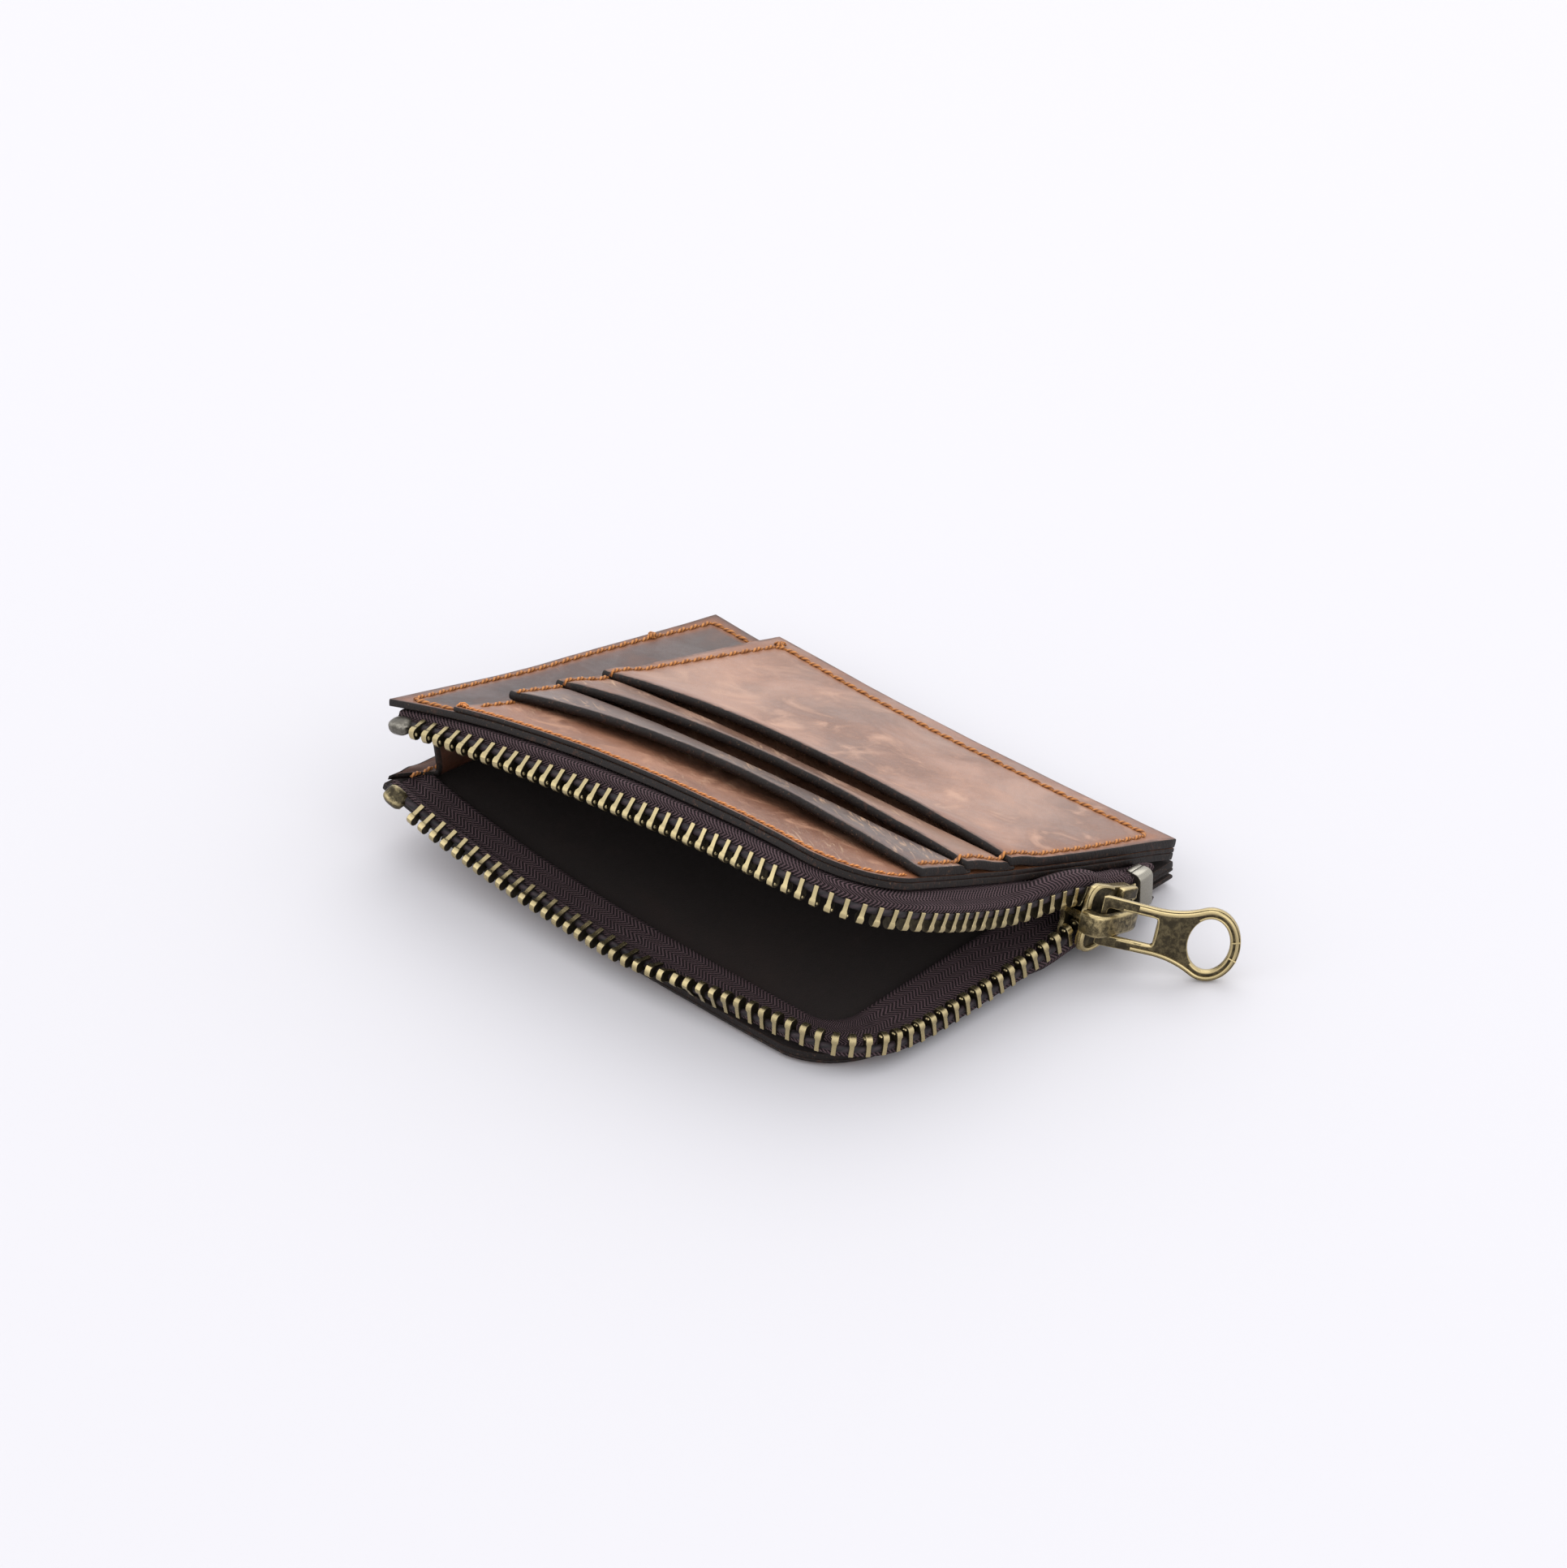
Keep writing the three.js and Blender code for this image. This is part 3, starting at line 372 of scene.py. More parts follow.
class Nodes:
    """Short hand for building one material's node tree."""

    def __init__(self, name):
        self.material = bpy.data.materials.new(name)
        self.material.use_nodes = True
        self.tree = self.material.node_tree
        self.shader = self.tree.nodes["Principled BSDF"]

    def add(self, kind, inputs=None, **settings):
        node = self.tree.nodes.new(kind)
        for key, value in settings.items():
            setattr(node, key, value)
        for key, value in (inputs or {}).items():
            self.put(node.inputs[key], value)
        return node

    def put(self, socket, value):
        if isinstance(value, bpy.types.NodeSocket):
            self.tree.links.new(value, socket)
        elif isinstance(value, (tuple, list)) and len(value) == 3 and len(socket.default_value) == 4:
            socket.default_value = (*value, 1)
        else:
            socket.default_value = value

    def math(self, operation, a, b=0.0, clamp=False):
        node = self.add("ShaderNodeMath", {0: a, 1: b}, operation=operation, use_clamp=clamp)
        return node.outputs[0]

    def times(self, a, b):
        return self.math("MULTIPLY", a, b)

    def plus(self, a, b, clamp=False):
        return self.math("ADD", a, b, clamp)

    def minus(self, a, b):
        return self.math("SUBTRACT", a, b)

    def rest(self, a):
        return self.minus(1.0, a)

    def mix(self, factor, a, b):
        node = self.add("ShaderNodeMix", data_type="RGBA", blend_type="MIX")
        self.put(node.inputs["Factor"], factor)
        self.put(node.inputs["A"], a)
        self.put(node.inputs["B"], b)
        return node.outputs["Result"]

    def blend(self, factor, a, b):
        node = self.add("ShaderNodeMix", data_type="FLOAT")
        for key, value in (("Factor", factor), ("A", a), ("B", b)):
            self.put(node.inputs[key], value)
        return node.outputs["Result"]

    def ramp(self, value, low, high):
        """0 at low and below, 1 at high and above, smooth between."""
        node = self.add("ShaderNodeMapRange", interpolation_type="SMOOTHSTEP")
        for key, number in (("Value", value), ("From Min", low), ("From Max", high)):
            self.put(node.inputs[key], number)
        return node.outputs[0]

    def value(self, name):
        return self.add("ShaderNodeAttribute", attribute_name=name).outputs["Fac"]

    def flat(self, scale=(1000, 1000, 1000), turn=0.0, shift=(0, 0, 0)):
        """Place on the flat leather or tape in millimetres, scaled, turned and shifted."""
        uv = self.add("ShaderNodeTexCoord").outputs["UV"]
        mapping = self.add("ShaderNodeMapping", {"Vector": uv})
        mapping.vector_type = "POINT"
        mapping.inputs["Rotation"].default_value = (0, 0, turn)
        mapping.inputs["Location"].default_value = shift
        mapping.inputs["Scale"].default_value = (1000, 1000, 1000)
        last = self.add("ShaderNodeVectorMath", {0: mapping.outputs[0]}, operation="MULTIPLY")
        last.inputs[1].default_value = tuple(s / 1000 for s in scale)
        return last.outputs[0]

    def solid(self):
        coords = self.add("ShaderNodeTexCoord").outputs["Object"]
        scaled = self.add("ShaderNodeVectorMath", {0: coords}, operation="SCALE")
        scaled.inputs["Scale"].default_value = 1000
        return scaled.outputs[0]

    def noise(self, vector, scale, detail=4.0, rough=0.55, warp=0.0):
        inputs = {"Vector": vector, "Scale": scale, "Detail": detail, "Roughness": rough, "Distortion": warp}
        return self.add("ShaderNodeTexNoise", inputs).outputs["Fac"]

    def bump(self, height, strength, distance, normal=None):
        inputs = {"Height": height, "Strength": strength, "Distance": distance * MM}
        node = self.add("ShaderNodeBump", inputs)
        if normal is not None:
            self.put(node.inputs["Normal"], normal)
        return node.outputs[0]

    def finish(self, **sockets):
        for key, value in sockets.items():
            self.put(self.shader.inputs[key.replace("_", " ")], value)
        return self.material


# Pale grey haze: the hide's wax, and also painted sheen.
BLOOM_AND_SHEEN_TINT = (0.22, 0.19, 0.17)
RIM_TINT = (0.16, 0.052, 0.020)
SCRATCH_TINT = (0.34, 0.20, 0.12)
CREASE_TINT = (0.42, 0.27, 0.17)
SEAM_TINT = (0.27, 0.10, 0.035)
LIP_TINT = (0.045, 0.020, 0.012)
EDGE_PAINT = (0.0065, 0.0040, 0.0032)
EDGE_CHIP = (0.040, 0.016, 0.009)
EDGE_SPECK = (0.15, 0.085, 0.05)
# Flesh-side tones, nearly black: painted shade for the pouch's inside and the gaps under the slot mouths.
SUEDE_IN_PAINTED_SHADE = [(0.004, 0.0022, 0.0018), (0.012, 0.0055, 0.0038), (0.018, 0.008, 0.0055)]

# Each family of scratches: its turn, how far it is drawn out, where it starts and its strength.
SCRATCHES = [(0.5, 0.05, 0.665, 0.55), (-0.7, 0.07, 0.68, 0.5), (1.35, 0.04, 0.69, 0.4)]


def leather(name, dark, mid, light, seed, bloom_and_sheen=0.0, creases=0.0, warm_rim=0.5):
    """Oiled pull-up leather: mottled hide, pores, scratches, wax haze and painted sheen, edge paint, flesh
    side as painted shade.
    """
    n = Nodes(name)
    shift = (seed * 37.0, seed * 23.0, seed * 11.0)
    flat = n.flat(shift=shift)
    cloud = n.noise(flat, 0.032, 6, 0.62, 0.6)
    patch = n.noise(flat, 0.11, 5, 0.6, 0.8)
    fine = n.noise(flat, 0.9, 5, 0.65)
    grain = n.noise(flat, 4.5, 3, 0.6)
    colour = n.mix(n.ramp(cloud, 0.38, 0.64), dark, mid)
    colour = n.mix(n.times(n.ramp(patch, 0.5, 0.72), 0.75), colour, light)
    colour = n.mix(n.times(n.ramp(fine, 0.45, 0.75), 0.22), colour, light)
    # Pale grey patches: partly the waxy haze of the hide, partly painted sheen.
    if bloom_and_sheen:
        veil = n.ramp(n.noise(flat, 0.05, 4, 0.5, 0.4), 0.36, 0.66)
        colour = n.mix(n.times(veil, bloom_and_sheen), colour, BLOOM_AND_SHEEN_TINT)
    edge = n.value("edge")
    rim_mask = n.rest(n.ramp(edge, 0.6, 6.5))
    rim_mask = n.times(rim_mask, n.ramp(n.noise(flat, 0.12, 4, 0.6), 0.25, 0.6))
    colour = n.mix(n.times(rim_mask, warm_rim), colour, RIM_TINT)
    scratch_height = None
    for turn, stretch, low, share in SCRATCHES:
        lines = n.flat(scale=(1000 * stretch, 1900, 1000), turn=turn, shift=shift)
        streak = n.ramp(n.noise(lines, 1.0, 3, 0.6, 0.25), low, low + 0.07)
        zone = n.ramp(n.noise(flat, 0.07, 2, 0.5), 0.5, 0.62)
        streak = n.times(streak, zone)
        colour = n.mix(n.times(streak, share), colour, SCRATCH_TINT)
        scratch_height = streak if scratch_height is None else n.math("MAXIMUM", scratch_height, streak)
    if creases:
        lines = n.flat(scale=(260, 1500, 1000), turn=0.62, shift=shift)
        folds = n.ramp(n.noise(lines, 0.55, 4, 0.62, 1.2), 0.53, 0.68)
        zone = n.ramp(n.noise(flat, 0.045, 2, 0.5), 0.42, 0.58)
        folds = n.times(n.times(folds, zone), creases)
        colour = n.mix(folds, colour, CREASE_TINT)
        scratch_height = n.math("MAXIMUM", scratch_height, folds)
    seam = n.value("seam")
    seam_glow = n.rest(n.ramp(seam, 0.5, 2.2))
    colour = n.mix(n.times(seam_glow, 0.5), colour, SEAM_TINT)
    paint = n.value("paint")
    speck = n.ramp(n.noise(n.solid(), 2.3, 3, 0.75), 0.62, 0.70)
    chip = n.ramp(n.noise(n.solid(), 0.45, 5, 0.7), 0.56, 0.66)
    edge_colour = n.mix(n.times(chip, 0.6), EDGE_PAINT, EDGE_CHIP)
    edge_colour = n.mix(n.times(speck, 0.75), edge_colour, EDGE_SPECK)
    painted = n.ramp(n.plus(paint, n.times(n.minus(fine, 0.5), 0.5)), 0.25, 0.6)
    lip = n.times(n.rest(n.ramp(edge, 0.15, 0.9)), 0.65)
    lip = n.times(lip, n.ramp(n.noise(flat, 0.35, 4, 0.6), 0.3, 0.6))
    colour = n.mix(lip, colour, LIP_TINT)
    colour = n.mix(painted, colour, edge_colour)
    flesh = n.value("flesh")
    # The flesh side is painted nearly black, as painted shade of the pouch's inside.
    shaded_suede = n.mix(n.noise(flat, 1.4, 6, 0.7), SUEDE_IN_PAINTED_SHADE[0], SUEDE_IN_PAINTED_SHADE[1])
    shaded_suede = n.mix(n.times(n.ramp(cloud, 0.5, 0.75), 0.5), shaded_suede, SUEDE_IN_PAINTED_SHADE[2])
    colour = n.mix(flesh, colour, shaded_suede)
    rough = n.blend(n.ramp(patch, 0.35, 0.7), 0.42, 0.60)
    rough = n.plus(rough, n.times(n.minus(fine, 0.5), 0.25))
    rough = n.blend(painted, rough, n.blend(speck, 0.5, 0.75))
    rough = n.blend(flesh, rough, 0.93)
    cells = {"Vector": flat, "Scale": 1.7, "Randomness": 1.0}
    pores = n.add("ShaderNodeTexVoronoi", cells, feature="DISTANCE_TO_EDGE")
    pebble = n.ramp(pores.outputs["Distance"], 0.0, 0.12)
    relief = n.plus(n.times(grain, 0.5), n.times(pebble, 0.22))
    relief = n.plus(relief, n.times(fine, 0.55))
    relief = n.minus(relief, n.times(scratch_height, 0.35))
    relief = n.plus(relief, n.times(n.noise(n.solid(), 2.2, 5, 0.7), n.times(painted, 0.9)))
    relief = n.minus(relief, n.times(seam_glow, 0.4))
    normal = n.bump(relief, 0.55, 0.16)
    normal = n.bump(patch, 0.35, 0.5, normal)
    return n.finish(
        Base_Color=colour, Roughness=rough, Normal=normal,
        Specular_IOR_Level=n.blend(painted, 0.45, 0.22),
    )


def brass_material(name, high, low, wear=0.5):
    """Antique brass: faces dark with patina and painted shade, edges bright with rubbing and painted
    highlights, small pits.
    """
    n = Nodes(name)
    solid = n.solid()
    blotch = n.noise(solid, 0.9, 5, 0.65, 0.4)
    grit = n.noise(solid, 5.0, 4, 0.7)
    cloud = n.plus(n.times(blotch, 0.7), n.times(grit, 0.3))
    # Per-vertex value: high on rims and edges, rubbed bright and painted highlight; low on faces and sides,
    # patina and painted shade.
    rub = n.ramp(n.plus(n.value("rub"), n.minus(n.times(cloud, 1.2), 0.6)), 0.25, 0.85)
    wear_and_light = n.plus(n.times(n.ramp(cloud, 0.42, 0.62), wear), rub, True)
    colour = n.mix(wear_and_light, low, high)
    rough = n.plus(n.blend(wear_and_light, 0.46, 0.28), n.times(n.minus(grit, 0.5), 0.2))
    normal = n.bump(n.plus(n.times(grit, 0.5), blotch), 0.3, 0.05)
    return n.finish(Base_Color=colour, Roughness=rough, Normal=normal, Metallic=0.95)


def tape_material():
    """Herringbone tape: yarns that slant one way and then the other in narrow columns, with painted shade in
    their hollows.
    """
    n = Nodes("zip_tape_weave")
    flat = n.flat()
    split = n.add("ShaderNodeSeparateXYZ", {"Vector": flat})
    along, across = split.outputs["X"], split.outputs["Y"]
    column = n.math("DIVIDE", across, 1.55)
    side = n.math("FRACT", n.math("ABSOLUTE", n.times(column, 0.5)))
    fold = n.math("ABSOLUTE", n.minus(n.times(side, 2.0), 1.0))
    slant = n.times(fold, 1.55)
    phase = n.times(n.plus(along, slant), 2 * math.pi / 0.78)
    yarn = n.plus(n.times(n.math("SINE", phase), 0.5), 0.5)
    rib = n.math("SINE", n.times(across, 2 * math.pi / 0.42))
    fuzz = n.noise(flat, 5.0, 4, 0.7)
    cloud = n.noise(flat, 0.25, 4, 0.6)
    height = n.plus(yarn, n.times(rib, 0.16))
    height = n.plus(height, n.times(fuzz, 0.5))
    # Crests lighter and hollows near black by the weave's height: painted shade.
    colour = n.mix(n.ramp(height, 0.3, 1.25), (0.010, 0.006, 0.007), (0.120, 0.076, 0.084))
    colour = n.mix(n.times(n.ramp(cloud, 0.45, 0.75), 0.3), colour, (0.030, 0.019, 0.020))
    normal = n.bump(height, 1.0, 0.34)
    return n.finish(
        Base_Color=colour, Roughness=0.88, Normal=normal, Specular_IOR_Level=0.2,
    )


def thread_material(name, bright, deep):
    """Waxed polyester thread: twisted strands with painted shade in the valleys between them, and handling
    dirt.
    """
    n = Nodes(name)
    solid = n.solid()
    strand = n.value("strand")
    soil = n.noise(solid, 0.45, 4, 0.6)
    fibre = n.noise(solid, 9.0, 3, 0.7)
    # Crests of the plies lighter, valleys darker: painted shade; on the smooth cord the same stripes paint a
    # twist's shade.
    tone = n.plus(n.times(strand, 0.8), n.times(fibre, 0.25))
    colour = n.mix(n.ramp(tone, 0.15, 0.8), deep, bright)
    colour = n.mix(n.times(n.ramp(soil, 0.48, 0.7), 0.55), colour, deep)
    normal = n.bump(fibre, 0.4, 0.05)
    return n.finish(Base_Color=colour, Roughness=0.6, Normal=normal, Specular_IOR_Level=0.35)


MID_BROWN = leather(
    "leather_large_pocket", (0.175, 0.088, 0.056), (0.330, 0.182, 0.124), (0.45, 0.268, 0.186), 1,
    bloom_and_sheen=0.22,
)
STRIP_DARK = leather(
    "leather_panel", (0.032, 0.019, 0.016), (0.062, 0.035, 0.029), (0.100, 0.052, 0.038), 2,
    bloom_and_sheen=0.15, warm_rim=0.6,
)
ORANGE = leather(
    "leather_zip_strip", (0.165, 0.070, 0.038), (0.280, 0.130, 0.075), (0.40, 0.21, 0.125), 3, creases=0.6,
)
GREY_STRIP = leather(
    "leather_pocket_1", (0.075, 0.050, 0.044), (0.135, 0.096, 0.082), (0.21, 0.145, 0.112), 4,
    bloom_and_sheen=0.35, creases=0.9, warm_rim=0.2,
)
TAN_STRIP = leather(
    "leather_pocket_2", (0.135, 0.072, 0.047), (0.235, 0.132, 0.088), (0.34, 0.205, 0.14), 5,
    bloom_and_sheen=0.1, creases=0.95, warm_rim=0.3,
)
BACK_LEATHER = leather(
    "leather_back", (0.070, 0.036, 0.024), (0.150, 0.078, 0.050), (0.24, 0.135, 0.09), 6, bloom_and_sheen=0.2,
)
GUSSET_LEATHER = leather(
    "leather_gusset", (0.030, 0.011, 0.006), (0.075, 0.025, 0.012), (0.125, 0.045, 0.024), 7, warm_rim=0.2,
)
BRASS = brass_material("antique_brass", (0.42, 0.345, 0.185), (0.040, 0.033, 0.021), wear=0.12)
BRASS_DARK = brass_material("antique_brass_slider", (0.40, 0.32, 0.165), (0.036, 0.029, 0.018), wear=0.2)
STEEL = brass_material("worn_steel", (0.27, 0.255, 0.215), (0.10, 0.093, 0.078), wear=0.3)
TAPE = tape_material()
THREAD = thread_material("thread_orange", (0.46, 0.185, 0.045), (0.13, 0.042, 0.012))
THREAD_WORN = thread_material("thread_worn", (0.62, 0.24, 0.06), (0.22, 0.07, 0.02))
CORD = thread_material("bead_cord", (0.026, 0.016, 0.019), (0.007, 0.005, 0.006))

# ---------------------------------------------------------------- seam paths

ZIP_MARGIN = 1.5
STITCH_FRONT = ZIP_MARGIN - BACK
STITCH_BACK = BACK - STITCH_MARGIN
CORNER_START = CORNER_RADIUS - BACK


def corner_path(radius, first, last, count=14):
    """Places on an arc round the zipped corner, between two angles in degrees."""
    centre_u, centre_v = HALF_LENGTH - CORNER_RADIUS, CORNER_START
    turns = np.linspace(math.radians(first), math.radians(last), count)
    return [(centre_u + radius * math.sin(a), centre_v - radius * math.cos(a)) for a in turns]


# The hand-guided seams wander by a few millimetres along the card section.
SEAM_CARD = [
    (CARD_LEFT + 1.6, SLOT_MOUTHS[0] - BACK - 9), (CARD_LEFT + 1.9, 6), (CARD_LEFT + 3.6, BACK - 3.6),
    (-20, BACK - 4.6), (0, BACK - 5.4), (30, BACK - 5.6), (HALF_LENGTH - 2.6, BACK - 4.8),
    (HALF_LENGTH - 1.7, 20), (HALF_LENGTH - 1.5, -5), (HALF_LENGTH - 1.9, CORNER_START + 1),
]
SEAM_ZIP = [(CARD_LEFT + 1.8, STITCH_FRONT), (HALF_LENGTH - CORNER_RADIUS, STITCH_FRONT)]
SEAM_ZIP += corner_path(CORNER_RADIUS - ZIP_MARGIN, 6, 84)
SEAM_STRIP = [
    (CARD_LEFT - 1.2, STITCH_FRONT), (3.2 - HALF_LENGTH, STITCH_FRONT + 0.8), (1.7 - HALF_LENGTH, -20),
    (1.5 - HALF_LENGTH, 20), (2.2 - HALF_LENGTH, STITCH_BACK), (CARD_LEFT - 1.2, STITCH_BACK),
]


# ---------------------------------------------------------------- leather layers


def leather_layers(side, body, shell, looks):
    """Panel, card backing and the three card slots of one shell."""
    seams = [SEAM_CARD, SEAM_ZIP, SEAM_STRIP]
    zero = lambda u: np.zeros(u.shape)
    whole = (-HALF_LENGTH, -BACK, BACK)
    layer_piece(
        f"{side}_panel_leather", f"{side}_panel", body, shell, whole,
        lambda u, v: (zero(u) - BODY, zero(u)),
        looks["panel"], rim=0.2, mouth=0.25, seams=seams,
    )
    layer_piece(
        f"{side}_backing_leather", f"{side}_card_backing", body, shell, (CARD_LEFT, -BACK, BACK),
        lambda u, v: (zero(u) + shell.gap, zero(u) + shell.gap + shell.backing),
        looks["backing"], rim=0.2, mouth=0.3, seams=seams,
    )
    for number, mouth in enumerate(SLOT_MOUTHS):
        last = number == len(SLOT_MOUTHS) - 1
        end = BACK if last else SLOT_MOUTHS[number + 1] - BACK + SLOT_OVERLAP
        levels = lambda u, v, k=number: (shell.slot_inner(k, u, v), shell.slot_outer(k, u, v))
        layer_piece(
            f"{side}_slot_{number + 1}_leather", f"{side}_card_slot_{number + 1}", body, shell,
            (CARD_LEFT, mouth - BACK, end), levels, looks["slots"][number],
            rim=0.28, mouth=min(0.55, shell.slot * 0.4), seams=seams,
        )


FRONT_LOOKS = {"panel": STRIP_DARK, "backing": ORANGE, "slots": [GREY_STRIP, TAN_STRIP, MID_BROWN]}
BACK_LOOKS = {"panel": STRIP_DARK, "backing": BACK_LEATHER, "slots": [BACK_LEATHER] * 3}
leather_layers("front", "front_shell", FRONT, FRONT_LOOKS)
leather_layers("back", "back_shell", REAR, BACK_LOOKS)


# ---------------------------------------------------------------- stitches


def resample(path, pitch):
    """Places along a broken line at a pitch that divides it evenly."""
    path = np.array(path, float)
    legs = np.hypot(*np.diff(path, axis=0).T)
    run = np.concatenate([[0], np.cumsum(legs)])
    count = max(round(run[-1] / pitch), 1)
    at = np.linspace(0, run[-1], count + 1)
    return np.stack([np.interp(at, run, path[:, 0]), np.interp(at, run, path[:, 1])], -1)


def twisted_stitch(points, radius, sides=9, twist=2.4):
    """One stitch along a short curve: two plies that wind round each other, ends sunk in."""
    points = np.array(points)
    tangent = np.gradient(points, axis=0)
    tangent /= np.linalg.norm(tangent, axis=1, keepdims=True)
    up = np.array([0.0, 0.0, 1.0])
    ring_points, strand = [], []
    for k, (p, t) in enumerate(zip(points, tangent)):
        a = np.cross(t, up)
        a /= np.linalg.norm(a)
        b = np.cross(a, t)
        share = k / (len(points) - 1)
        taper = 0.72 + 0.28 * math.sin(math.pi * share)
        for s in range(sides):
            angle = 2 * math.pi * s / sides
            ply = math.cos(2 * angle - twist * 2 * math.pi * share)
            r = radius * taper * (1 + 0.2 * ply)
            ring_points.append(p + r * (math.cos(angle) * a + 0.86 * math.sin(angle) * b))
            strand.append(0.5 + 0.5 * ply)
    return ring_points, ring_faces(len(points), sides), strand


def gather(parts):
    """Joins (points, faces, values) parts into one list of each."""
    points, faces, values = [], [], []
    for part_points, part_faces, part_values in parts:
        base = len(points)
        points.extend(part_points)
        faces.extend(tuple(base + i for i in face) for face in part_faces)
        values.extend(part_values)
    return points, faces, values


def on_face(shell):
    """Places on the outermost face of a shell, lifted off it."""

    def place(u, v, lift):
        ground = shell.outer_face(u, v) + wave(u, v, shell.outward)
        for _ in range(2):
            padded = np.pad(ground, 1, mode="edge")
            ground = np.maximum(ground, (padded[:-2] + 2 * padded[1:-1] + padded[2:]) / 4)
        return shell.point(u, v, ground + lift)

    return place


def stitch_line(
    name, body, place, path, radius=0.36, knots=(), node=None, pitch=STITCH_PITCH, material=THREAD,
):
    """A run of single slanting stitches along a seam, with a knot at some places."""
    places = resample(path, pitch)
    parts = []
    for a, b in zip(places[:-1], places[1:]):
        along = (b - a) / np.hypot(*(b - a))
        across = np.array([-along[1], along[0]]) * 0.16
        share = np.linspace(0.04, 0.96, 9)
        line = a + (b - a) * share[:, None] + across * np.sin((share - 0.5) * math.pi)[:, None]
        lift = radius * (1.0 * np.sin(math.pi * share) ** 0.6 - 0.62) + random.uniform(-0.03, 0.03)
        parts.append(twisted_stitch(place(line[:, 0], line[:, 1], lift), radius))
    for knot in knots:
        for _ in range(9):
            angle = random.uniform(0, math.pi)
            half = np.array([math.cos(angle), math.sin(angle)]) * random.uniform(0.5, 0.95)
            share = np.linspace(-1, 1, 7)
            drift = np.array([random.uniform(-0.45, 0.45) for _ in range(2)])
            line = np.array(knot) + half * share[:, None] + drift
            lift = radius * (1.3 * np.cos(share * math.pi / 2) - 0.2) + random.uniform(0, 0.3)
            parts.append(twisted_stitch(place(line[:, 0], line[:, 1], lift), radius * 0.85))
    points, faces, strand = gather(parts)
    piece = build(name, points, faces, material, values={"strand": strand})
    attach(piece, body)
    if node:
        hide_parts(node)
    return piece


def shell_stitches(side, body, shell, nodes):
    """The three seams on the face of one shell."""
    place = on_face(shell)
    card, zipped, strip = nodes
    stitch_line(
        f"{side}_card_stitches", body, place, SEAM_CARD, node=card,
        knots=[(CARD_LEFT + 3.6, BACK - 3.6)],
    )
    stitch_line(
        f"{side}_zip_stitches", body, place, SEAM_ZIP, radius=0.24, node=zipped, pitch=2.2,
        knots=[(CARD_LEFT + 0.6, STITCH_FRONT + 0.3)], material=THREAD_WORN,
    )
    stitch_line(
        f"{side}_strip_stitches", body, place, SEAM_STRIP, node=strip,
        knots=[(1.5 - HALF_LENGTH, 24)],
    )


shell_stitches("front", "front_shell", FRONT, ("front_card_thread", "front_zip_thread", "front_strip_thread"))
shell_stitches("back", "back_shell", REAR, (None, None, None))

# ---------------------------------------------------------------- zipper chain

TAPE_GAP = 0.5
TAPE_THICKNESS = 0.5
TAPE_SIDE = -BODY - TAPE_GAP + 0.1 - TAPE_THICKNESS / 2
TOOTH_PITCH = 2.75
TOOTH_REAR = 1.25
CHAIN_START = 5.0
FRONT_RUN = LENGTH - CORNER_RADIUS
CORNER_RUN = CORNER_RADIUS * math.pi / 2
SLIDER_CENTRE = np.array([58.8, 18.1, 8.6])
SLIDER_PITCH = math.radians(17)
SLIDER_HALF = 6.0
BEAD_SPREAD = 2.3
NOSE_SPREAD = 4.4
CHAIN_END_RUN = 9.0

FRONT_CHAIN = [
    [2, 1.1, -1.5, -2],
    [12, 1.1, -1.9, -9],
    [30, 1.2, -2.9, -25],
    [60, 1.5, -3.2, -39],
    [80, 1.2, -2.8, -50],
    [95, 1.0, -2.9, -60],
    [107, 1.2, -3.2, -75],
    [118, 1.5, -3.6, -88],
    [140, 2.2, -4.0, -90],
]
BACK_CHAIN = [
    [2, 0.8, 0.8, -28],
    [12, 0.8, 0.8, -28],
    [30, 0.8, 0.9, -20],
    [60, 0.9, 1.1, -5],
    [70, 0.7, 1.3, 25],
    [80, 0.3, 1.5, 65],
    [90, 0, 2.2, 85],
    [100, 0, 2.6, 90],
    [107, 1.5, 1.8, 90],
    [113, 2.1, 0.8, 92],
    [120, 2.2, -0.6, 94],
    [140, 2.8, -1.0, 95],
]


def outline(distance):
    """Place on the outline at a distance along it, with the outward direction there."""
    if distance < FRONT_RUN:
        return distance - HALF_LENGTH, -BACK, np.array([0.0, -1.0])
    turn = min((distance - FRONT_RUN) / CORNER_RADIUS, math.pi / 2)
    out = np.array([math.sin(turn), -math.cos(turn)])
    u = HALF_LENGTH - CORNER_RADIUS + CORNER_RADIUS * out[0]
    v = CORNER_START + CORNER_RADIUS * out[1]
    return u, v + max(distance - FRONT_RUN - CORNER_RUN, 0), out


def tape_seam(shell, distance, inset):
    """Point of the tape under the leather, inset from the outline."""
    u, v, out = outline(distance)
    return shell.point(u - inset * out[0], v - inset * out[1], TAPE_SIDE)


def slider_point(x, y, z):
    """Point of the slider's own frame: outwards, towards the seam, towards the front shell."""
    c, s = math.cos(SLIDER_PITCH), math.sin(SLIDER_PITCH)
    return SLIDER_CENTRE + np.array([x, y * c + z * s, -y * s + z * c])


